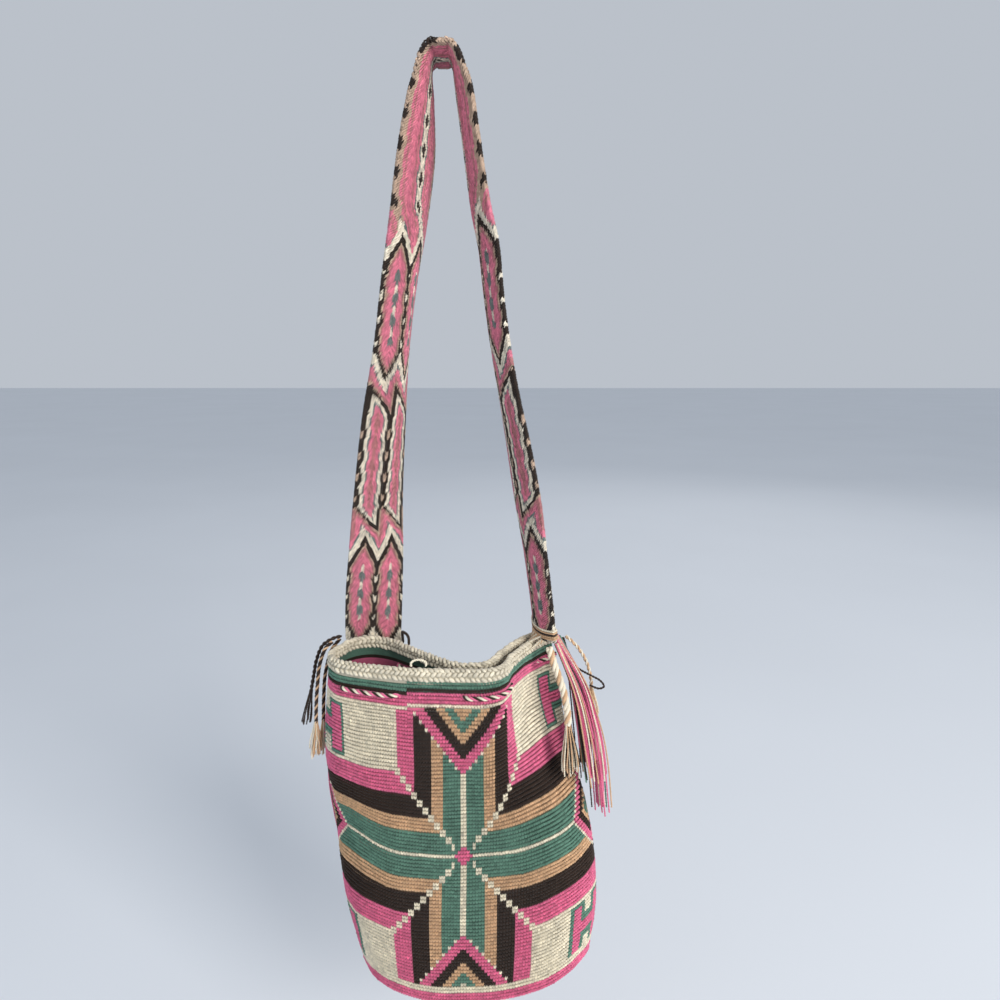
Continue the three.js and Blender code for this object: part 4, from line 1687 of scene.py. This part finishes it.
@dataclass
class ShoulderStrap:
    """The braided band: a thin core under slanted bits of yarn on both faces and edges."""

    shop: Workshop
    surface: StrapSurface = field(default_factory=StrapSurface)
    pattern: LozengePattern = field(default_factory=LozengePattern)
    columns: int = 36
    pitch: float = 2.35
    core_half: float = 1.15
    binding_half: float = 12.0
    binding_loops: int = 8
    rim_back: Vec3 = (94.0, 46.0, -549.0)
    rim_front: Vec3 = (80.0, 24.0, -549.0)
    face_out: float = 1.25
    edge_pitch: float = 3.6
    lashing_turns: int = 5
    lashing_twist: Twist = Twist(2, 0.6, 0.55, 6, 1.2, 5)

    def build(self) -> None:
        """Builds the core, the two faces, the edges and both fastenings."""
        core = self.core()
        braid = [self.edges()]
        for side, out in (("inner", -self.face_out), ("outer", self.face_out)):
            braid.append(self.face(f"strap_{side}_face_left", out, 0.0, 0.5))
            braid.append(self.face(f"strap_{side}_face_right", out, 0.5, 1.0))
        self.seam()
        self.lashing()

    def core(self) -> bpy.types.Object:
        """The closed band inside the braid, in the strap's pattern, dimmed by its material as
        painted shade between the bits.

        Returns:
            The piece.
        """
        along = np.linspace(0, self.surface.length, 240)
        across = np.linspace(-1, 1, 17) * (self.surface.width / 2 - 1.0)
        grid_a, grid_c = np.meshgrid(along, across, indexing="ij")
        top = self.surface.at(grid_a, grid_c, self.core_half)["at"]
        bottom = self.surface.at(grid_a, grid_c, -self.core_half)["at"]
        ring = np.concatenate([bottom, top[:, ::-1]], axis=1)
        rows, count = ring.shape[:2]
        faces = belts(rows, count, flip=True)
        faces += [tuple(range(count)), tuple(range(rows * count - 1, (rows - 1) * count - 1, -1))]
        made = mesh_object("strap_core", ring.reshape(-1, 3) * MM, faces)
        a = np.repeat(along, count)
        c = np.tile(np.concatenate([across, across[::-1]]), rows)
        add_dye(made.data, self.pattern.colours(a, c, self.surface.length))
        # The core is dimmed like the bag's cloth: painted shade that shows between the braid's
        # bits.
        made.data.materials.append(self.shop.cloth)
        return place(made, "strap_braid", "shoulder_strap")

    def face(self, name: str, side: float, start: float, end: float) -> bpy.types.Object:
        """Bits of yarn over one face, leaning left and right column by column.

        Args:
            name: The piece's name.
            side: Distance from the middle of the thickness, towards the outer face.
            start: Share of the length where the piece begins.
            end: Share of the length where it ends.

        Returns:
            The piece.
        """
        rng = np.random.default_rng(5 if side > 0 else 6)
        wide = self.surface.width / self.columns
        rows = int(self.surface.length / self.pitch)
        chosen = np.arange(int(rows * start), int(rows * end))
        i, j = np.meshgrid(np.arange(self.columns), chosen)
        i, j = i.ravel(), j.ravel()
        across = (i + 0.5) * wide - self.surface.width / 2
        along = (j + 0.5 + 0.5 * (i % 2)) * self.pitch
        along = np.minimum(along, self.surface.length - 1)
        found = self.surface.at(along, across, side)
        lean = np.where(np.mod(across / self.pattern.column, 2) < 1, 1.0, -1.0)[:, None]
        up = unit(found["run"] + found["across"] * lean * 0.75)
        jitter = rng.normal(0, 0.45, (2, len(i)))
        tint = self.pattern.colours(
            along + jitter[0] * 0.8, across + jitter[1] * 0.5, self.surface.length
        )
        tint[:, :3] *= rng.normal(1, 0.16, (len(i), 1))
        size = np.tile([wide, self.pitch * 2.5, 2.2], (len(i), 1))
        at = found["at"] + found["out"] * rng.normal(0, 0.07, (len(i), 1))
        places = (at, found["out"], up, size, tint)
        made = self.shop.lay(name, self.shop.shapes.bit, places, self.shop.braid, 0.08)
        return place(made, "strap_braid")

    def edges(self) -> bpy.types.Object:
        """Fat turns of yarn over both long edges.

        Returns:
            The piece.
        """
        rng = np.random.default_rng(9)
        along = np.arange(2, self.surface.length - 2, self.edge_pitch)
        parts = []
        for sign in (-1, 1):
            across = np.full(len(along), sign * (self.surface.width / 2 - 0.4))
            found = self.surface.at(along, across, 0.0)
            tint = self.pattern.colours(along, across * 0.97, self.surface.length)
            up = unit(found["run"] + found["out"] * 0.5)
            parts.append((found["at"], found["across"] * sign, up, tint))
        at, out, up, tint = (np.vstack([part[k] for part in parts]) for k in range(4))
        tint[:, :3] *= rng.normal(1, 0.1, (len(at), 1))
        size = np.tile([3.3, self.edge_pitch * 1.6, 2.2], (len(at), 1))
        places = (at, out, up, size, tint)
        made = self.shop.lay("strap_edges", self.shop.shapes.knot, places, self.shop.braid, 0.1)
        return place(made, "strap_braid")

    def seam(self) -> bpy.types.Object:
        """Stitches that hold the left end to the back of the rim.

        Returns:
            The piece.
        """
        across = np.arange(-15.0, 16.0, 2.4)
        rows = [4.0, 8.5]
        a, c = (grid.ravel() for grid in np.meshgrid(rows, across, indexing="ij"))
        found = self.surface.at(a, c, 2.6)
        up = unit(found["run"] + found["across"] * 0.35)
        size = np.tile([2.2, 5.4, 2.0], (len(a), 1))
        tint = np.tile(palette(Yarn.CREAM), (len(a), 1))
        places = (found["at"], found["out"], up, size, tint)
        knot = self.shop.shapes.knot
        made = self.shop.lay("strap_end_stitches", knot, places, self.shop.crochet, 0.1)
        return place(made, "cream_yarn", "strap_seam_left")

    def lashing(self) -> bpy.types.Object:
        """Turns of tan yarn round the right end of the strap.

        Returns:
            The piece.
        """
        length = self.surface.length
        turns = []
        across = np.linspace(-1, 1, 15) * (self.surface.width / 2 + 1.0)
        slant = 0.6 * np.sin(across / 9)
        for k in range(self.lashing_turns):
            along = length - 5.0 - 2.3 * k
            one = self.surface.at(along + slant, across, 2.9)["at"]
            other = self.surface.at(along - slant, across[::-1], -2.9)["at"]
            loop = np.vstack([one, other, one[:1]])
            turns.append(resampled(centripetal_samples(loop[:-1], True, 4), 2.0) * MM)
        turns += self.binding()
        dyes = [Yarn.TAN, Yarn.TAN, Yarn.BLACK, Yarn.TAN, Yarn.CREAM]
        dyes += [(Yarn.TAN, Yarn.CREAM)[k % 2] for k in range(len(turns) - len(dyes))]
        made = self.shop.spin("strap_end_lashing", turns, dyes, False, self.lashing_twist)
        return place(made, "tan_yarn", "strap_lashing_right")

    def binding(self) -> list[np.ndarray]:
        """Closed loops that sew the strap's right end down to the rim below it.

        Returns:
            One closed path a loop, in metres.
        """
        length = self.surface.length
        loops = []
        for across in np.linspace(-self.binding_half, self.binding_half, self.binding_loops):
            share = (across + self.binding_half) / (2 * self.binding_half)
            rim = np.array(self.rim_back) * (1 - share) + np.array(self.rim_front) * share
            outer = self.surface.at(length - 5.0, across, 3.2)["at"]
            inner = self.surface.at(length - 5.0, across, -3.2)["at"]
            under = np.array([0, 0, -3.5])
            corners = [outer, rim + [4.2, -2.6, 0], rim + under, rim + [-4.2, 2.6, 0], inner]
            loops.append(resampled(centripetal_samples(np.array(corners), True, 6), 1.5) * MM)
        return loops


# ------------------------------------------------------------------------ free yarn ends


class Make(Enum):
    """How a free cord is made."""

    TWISTED = "twisted"
    BUNDLE = "bundle"


@dataclass
class Fringe:
    """Loose yarn ends at the foot of a cord, in millimetres."""

    node: str
    slot: str
    length: float
    width: float
    strands: int
    dyes: tuple[Yarn, ...]


@dataclass
class FreeCord:
    """A yarn cord or a bundle of yarns that hangs from the strap's end.

    Attributes:
        node: The solid that it stands for.
        slot: The record's finish.
        make: Twisted from plies, or a loose bundle.
        diameter: Thickness in millimetres.
        dyes: Yarns of the plies, or of the bundle's strands in turn.
        route: Its middle line in millimetres.
        strands: Strands of a bundle.
        loose: Yarns of the single strands that fly about a bundle.
        fringe: Loose ends at its foot.
        seed: Seed of its strands.
    """

    node: str
    slot: str
    make: Make
    diameter: float
    dyes: tuple[Yarn, ...]
    route: tuple[Vec3, ...]
    strands: int = 0
    loose: tuple[Yarn, ...] = ()
    fringe: Optional[Fringe] = None
    seed: int = 1

    STRAND = Twist(2, 0.58, 0.5, 5.5, 1.5, 5)
    LOOSE = Twist(2, 0.55, 0.46, 5, 1.6, 5)
    END = Twist(2, 0.5, 0.42, 4.5, 1.6, 5)

    def line(self) -> np.ndarray:
        """The middle line in metres, with points a millimetre and a half apart."""
        return resampled(centripetal_samples(np.array(self.route, float), False, 16), 1.5) * MM

    def bundle_paths(self, line: np.ndarray) -> list[np.ndarray]:
        """Strands that wander round the middle line and spread towards its end.

        Args:
            line: The middle line in metres.

        Returns:
            One path a strand.
        """
        foot = line[-1] + np.outer([1.5, 3.0], unit(line[-1] - line[-2])) * MM
        line = np.vstack([line, foot])
        rng = np.random.default_rng(self.seed)
        share = np.linspace(0, 1, len(line))
        paths = []
        radius = self.diameter / 2 * MM
        for k in range(self.strands):
            start = math.tau * (k / self.strands + rng.uniform(-0.05, 0.05))
            angle = start + rng.uniform(-1.6, 1.6) * share + 0.4 * np.sin(5 * share + start)
            ring = 0.35 + 0.55 * ((k * 0.618) % 1)
            spread = radius * ring * (0.62 + 0.72 * share**1.5)
            end = len(line) - int(rng.integers(0, 3))
            paths.append(beside(line, spread, angle)[:end])
        return paths

    def loose_paths(self, line: np.ndarray) -> list[np.ndarray]:
        """Single strands that leave the bundle and hang beside it, some of them longer.

        Args:
            line: The middle line in metres.

        Returns:
            One path a strand.
        """
        rng = np.random.default_rng(self.seed + 90)
        near = 0.3 * self.diameter * MM
        share = np.linspace(0, 1, len(line))
        paths = []
        for k in range(len(self.loose)):
            start = math.tau * k / len(self.loose) + rng.uniform(-0.3, 0.3)
            angle = start + rng.uniform(-0.7, 0.7) * share
            reach = self.diameter * rng.uniform(0.75, 1.45) * MM
            spread = near + (reach - near) * smooth_step(share, 0.05, 0.9)
            path = beside(line, spread, angle)
            steps = np.arange(1, int(rng.integers(2, 9)))
            tail = path[-1] + np.outer(steps, unit(path[-1] - path[-3])) * 1.5 * MM
            cut = int(len(path) * rng.uniform(0.7, 0.95)) if k % 3 == 0 else len(path)
            paths.append(path[:cut] if k % 3 == 0 else np.vstack([path, tail]))
        return paths

    def fringe_paths(self, line: np.ndarray) -> list[np.ndarray]:
        """Loose ends that leave the cord's foot and fall apart.

        Args:
            line: The cord's middle line in metres.

        Returns:
            One path an end.
        """
        assert self.fringe is not None
        rng = np.random.default_rng(self.seed + 50)
        run = unit(line[-1] - line[-3])
        side = unit(np.cross(run, np.array([0.0, 1.0, 0.0])))
        ahead = np.cross(run, side)
        share = np.linspace(0, 1, 14)
        paths = []
        for k in range(self.fringe.strands):
            angle = 2.4 * k
            reach = math.sqrt((k + 0.5) / self.fringe.strands)
            length = self.fringe.length * rng.uniform(0.72, 1.0)
            top = 0.32 * self.diameter * reach
            spread = top + (0.62 * self.fringe.width * reach - top) * smooth_step(share, -0.1, 0.9)
            swing = rng.uniform(0.3, 1.1)
            wave = swing * np.sin(share * rng.uniform(3, 8) + rng.uniform(0, 6)) * share
            out = side * math.cos(angle) + ahead * math.sin(angle)
            turn = np.cross(out, run)
            path = (
                line[-1]
                - run * 2.0 * MM
                + np.outer(share * (length + 2.0), run) * MM
                + np.outer(spread, out) * MM
                + np.outer(wave, turn) * MM
            )
            paths.append(path)
        return paths

    def build(self, shop: Workshop) -> None:
        """Args:
            shop: The trees, templates and materials.
        """
        line = self.line()
        if self.make is Make.TWISTED:
            plies = len(self.dyes)
            half = self.diameter / 2
            ply = half * (0.5 if plies == 2 else 0.47)
            twist = Twist(plies, ply * 1.06, half - ply, self.diameter * 2.6, 0.9, 7)
            cord = shop.spin(f"{self.node}_yarn", [line], self.dyes, True, twist)
        else:
            paths = self.bundle_paths(line)
            dyes = [self.dyes[k % len(self.dyes)] for k in range(len(paths))]
            cord = shop.spin(f"{self.node}_yarn", paths, dyes, False, self.STRAND)
        place(cord, self.slot, self.node)
        if self.fringe:
            ends = self.fringe_paths(line)
            dyes = [self.fringe.dyes[k % len(self.fringe.dyes)] for k in range(len(ends))]
            loose = shop.spin(f"{self.fringe.node}_ends", ends, dyes, False, self.END)
            place(loose, self.fringe.slot, self.fringe.node)
        if self.loose:
            strands = self.loose_paths(line)
            flying = shop.spin(f"{self.node}_loose", strands, self.loose, False, self.LOOSE)
            place(flying, self.slot)


def free_cords() -> list[FreeCord]:
    """The yarn ends left and right of the bag.

    Returns:
        The cords, none of them built yet.
    """
    cream, pink, teal, black, tan = Yarn.CREAM, Yarn.PINK, Yarn.TEAL, Yarn.BLACK, Yarn.TAN
    return [
        FreeCord(
            "left_black_cord", "brown_yarn", Make.TWISTED, 4, (black, black),
            ((-115, 27, -539), (-123, 23, -540), (-133, 19, -546), (-139, 15, -560),
             (-142, 12, -576), (-145, 10, -592)),
            fringe=Fringe("left_black_fringe", "brown_yarn", 40, 9, 9, (black,)), seed=2,
        ),
        FreeCord(
            "left_brown_cord_front", "brown_yarn", Make.TWISTED, 4, (black, black, tan),
            ((-121, 11, -539), (-127, 8, -544), (-133, 4, -560), (-136, 2, -582), (-138, 1, -604),
             (-139, 1, -623)),
            fringe=Fringe("left_tan_fringe_front", "tan_yarn", 38, 11, 20, (tan, tan, cream)),
            seed=3,
        ),
        FreeCord(
            "left_brown_cord_back", "brown_yarn", Make.TWISTED, 4, (black, black, tan),
            ((-119, 37, -546), (-127, 32, -556), (-133, 24, -580), (-134, 18, -600),
             (-135, 15, -628)),
            fringe=Fringe("left_tan_fringe_back", "tan_yarn", 38, 9, 16, (tan, cream)), seed=4,
        ),
        FreeCord(
            "left_back_strands", "teal_yarn", Make.BUNDLE, 5, (teal, black, pink),
            ((-113, 55, -562), (-122, 52, -590), (-131, 44, -630), (-135, 34, -670),
             (-134, 27, -705), (-129, 24, -740), (-125, 24, -764)),
            strands=5, seed=5,
        ),
        FreeCord(
            "right_pink_tassel_outer", "pink_yarn", Make.BUNDLE, 8, (pink, pink, pink, cream, pink),
            ((109, 33, -541), (118, 30, -556), (130, 26, -576), (139, 22, -596), (145, 18, -620),
             (150, 14, -644), (153, 10, -670), (155, 7, -695), (157, 5, -717)),
            strands=20, seed=6,
            loose=(pink, tan, pink, cream, pink, pink, teal, pink, black, pink, tan, teal, pink,
                   pink),
        ),
        FreeCord(
            "right_pink_tassel_inner", "pink_yarn", Make.BUNDLE, 7, (pink, pink, black, pink),
            ((109, 22, -545), (117, 18, -563), (126, 14, -584), (133, 10, -606), (138, 6, -630),
             (142, 2, -654), (146, -2, -680)),
            strands=16, seed=7,
            loose=(pink, tan, cream, pink, tan, black, pink, teal, tan, pink),
        ),
        FreeCord(
            "right_teal_strands", "teal_yarn", Make.BUNDLE, 5, (teal,),
            ((113, 43, -545), (122, 41, -562), (134, 36, -584), (144, 31, -608), (151, 26, -636),
             (156, 21, -668), (159, 17, -696), (161, 14, -722)),
            strands=10, seed=8, loose=(teal, teal, pink, teal, teal, pink),
        ),
        FreeCord(
            "right_cream_braid", "cream_yarn", Make.TWISTED, 8, (cream, tan, cream),
            ((101, 13, -546), (105, 9, -560), (111, 5, -576), (116, 1, -592), (119, -3, -608),
             (120, -6, -622)),
            fringe=Fringe(
                "right_cream_fringe", "cream_yarn", 56, 17, 38, (cream, cream, tan, cream, black)
            ),
            seed=9,
        ),
        FreeCord(
            "right_black_strands", "brown_yarn", Make.BUNDLE, 6, (black,),
            ((118, 58, -553), (124, 57, -575), (130, 54, -605), (135, 49, -635), (139, 44, -662),
             (142, 40, -690)),
            strands=12, seed=10, loose=(black, black, tan, black, black, teal),
        ),
        FreeCord(
            "right_tan_cord", "tan_yarn", Make.TWISTED, 4, (tan, cream),
            ((121, 48, -547), (133, 46, -558), (143, 43, -574), (148, 41, -592), (149, 41, -604)),
            fringe=Fringe("right_tan_fringe", "tan_yarn", 40, 12, 16, (tan, cream, tan)), seed=11,
        ),
        FreeCord(
            "right_thread_loop", "brown_yarn", Make.TWISTED, 2.5, (black, black),
            ((124, 33, -570), (134, 33, -578), (146, 33, -585), (157, 32, -591), (161, 31, -597),
             (156, 32, -600), (146, 34, -597)),
            seed=12,
        ),
    ]


@dataclass
class RimLoops:
    """A loop of cream yarn on the front of the rim and a dark one behind the back."""

    shop: Workshop
    front: tuple[Vec3, ...] = (
        (-34, -44, -541.6), (-34, -44, -538), (-30, -43, -535.5), (-24, -43, -535.5),
        (-20, -43, -538), (-20, -43, -541.6),
    )
    back: tuple[Vec3, ...] = (
        (-46, 36, -552), (-46, 33, -543), (-48, 31, -538), (-52, 34, -537), (-53, 39, -543),
        (-53, 42, -552),
    )

    def build(self) -> None:
        """Builds both loops."""
        for name, route, dye, ply, slot, node in (
            ("rim_yarn_loop", self.front, Yarn.CREAM, 0.65, "cream_yarn", "rim_loop"),
            ("back_yarn_loop", self.back, Yarn.BLACK, 0.9, "brown_yarn", "back_black_loop"),
        ):
            line = resampled(centripetal_samples(np.array(route, float), False, 12), 0.8) * MM
            twist = Twist(2, ply, ply * 0.9, 5, 0.6, 7)
            place(self.shop.spin(name, [line], (dye, dye), True, twist), slot, node)


# -------------------------------------------------------------------------------- studio


@dataclass(frozen=True)
class Lamp:
    """A square soft lamp that faces a point, in metres and watts."""

    name: str
    at: Vec3
    target: Vec3
    size: float
    power: float
    colour: Vec3

    def build(self) -> None:
        """Adds the lamp."""
        data = bpy.data.lights.new(self.name, "AREA")
        data.size = self.size
        data.energy = self.power
        data.color = self.colour
        made = bpy.data.objects.new(self.name, data)
        made.location = self.at
        facing = Vector(self.target) - Vector(self.at)
        made.rotation_euler = facing.to_track_quat("-Z", "Y").to_euler()
        bpy.context.scene.collection.objects.link(made)


@dataclass
class Studio:
    """Camera, lamps and the plain pale floor."""

    camera_at: Vec3 = (0.0504, -0.700, -0.2540)
    pitch: float = 10.93
    lens: float = 26.5
    sensor: float = 36.0
    floor_z: float = -1.08
    floor_half: float = 20.0
    floor_colour: Vec3 = (0.74, 0.77, 0.81)
    sky_colour: tuple[float, float, float, float] = (0.80, 0.86, 0.95, 1)
    sky_strength: float = 0.62
    lamps: tuple[Lamp, ...] = (
        Lamp("key_lamp", (2.2, -2.6, 0.8), (0.02, 0, -0.6), 1.5, 118, (1.0, 0.97, 0.93)),
        Lamp("fill_lamp", (-2.2, -2.0, -0.2), (0, 0, -0.6), 1.8, 17, (0.93, 0.96, 1.0)),
        Lamp("back_lamp", (1.4, 3.4, 1.4), (0, 0, -0.5), 2.2, 14, (1.0, 0.98, 0.96)),
    )

    def camera(self) -> None:
        """Adds the camera at the height and distance of the view."""
        data = bpy.data.cameras.new("camera")
        data.lens = self.lens
        data.sensor_width = self.sensor
        made = bpy.data.objects.new("camera", data)
        made.location = self.camera_at
        made.rotation_euler = (math.radians(90 - self.pitch), 0, 0)
        bpy.context.scene.collection.objects.link(made)
        bpy.context.scene.camera = made

    def floor(self) -> None:
        """Adds a plain level floor that reaches far past every view."""
        ticks = np.linspace(-self.floor_half, self.floor_half, 9)
        points = [(x, y, self.floor_z) for y in ticks for x in ticks]
        faces = belts(len(ticks), len(ticks), closed=False)
        made = mesh_object("studio_floor", np.array(points), faces)
        made.data.materials.append(PlainFinish("pale_paper", self.floor_colour).material())

    def light(self) -> None:
        """Adds the lamps and the room's soft light."""
        world = bpy.data.worlds.new("room")
        world.use_nodes = True
        n = NodeBuilder(world.node_tree)
        sky = n.add(
            "ShaderNodeBackground", Color=self.sky_colour, Strength=self.sky_strength
        )
        n.add("ShaderNodeOutputWorld", Surface=sky.outputs[0])
        bpy.context.scene.world = world
        for lamp in self.lamps:
            lamp.build()


def main() -> None:
    """Builds the whole scene in order."""
    logging.basicConfig(level=logging.INFO, format="%(message)s")
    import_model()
    bpy.context.scene.view_settings.view_transform = "Standard"
    studio = Studio()
    studio.camera()
    shop = Workshop(
        stitches=StitchTree(),
        yarn=YarnTree(),
        shapes=Templates(),
        crochet=YarnFinish("crochet_cotton").material(),
        # The cloth is dimmed to 0.55 of its yarn colours: painted shade that shows in the gaps
        # between the stitches and between the braid bits.
        cloth=YarnFinish("cotton_under_stitches", dim=0.55, sheen=0.1).material(),
        braid=YarnFinish("braided_cotton", fibre=3000.0, shade=0.18, depth=0.0003).material(),
        cord=YarnFinish("twisted_cotton", fibre=3600.0, depth=0.0003, sheen=0.25).material(),
    )
    for cord in free_cords():
        cord.build(shop)
    wall = WallSurface()
    BagBody(shop, wall).build()
    Drawstring(shop, wall).build()
    RimLoops(shop).build()
    ShoulderStrap(shop).build()
    shop.shapes.discard()
    studio.floor()
    studio.light()


if __name__ == "__main__":
    main()
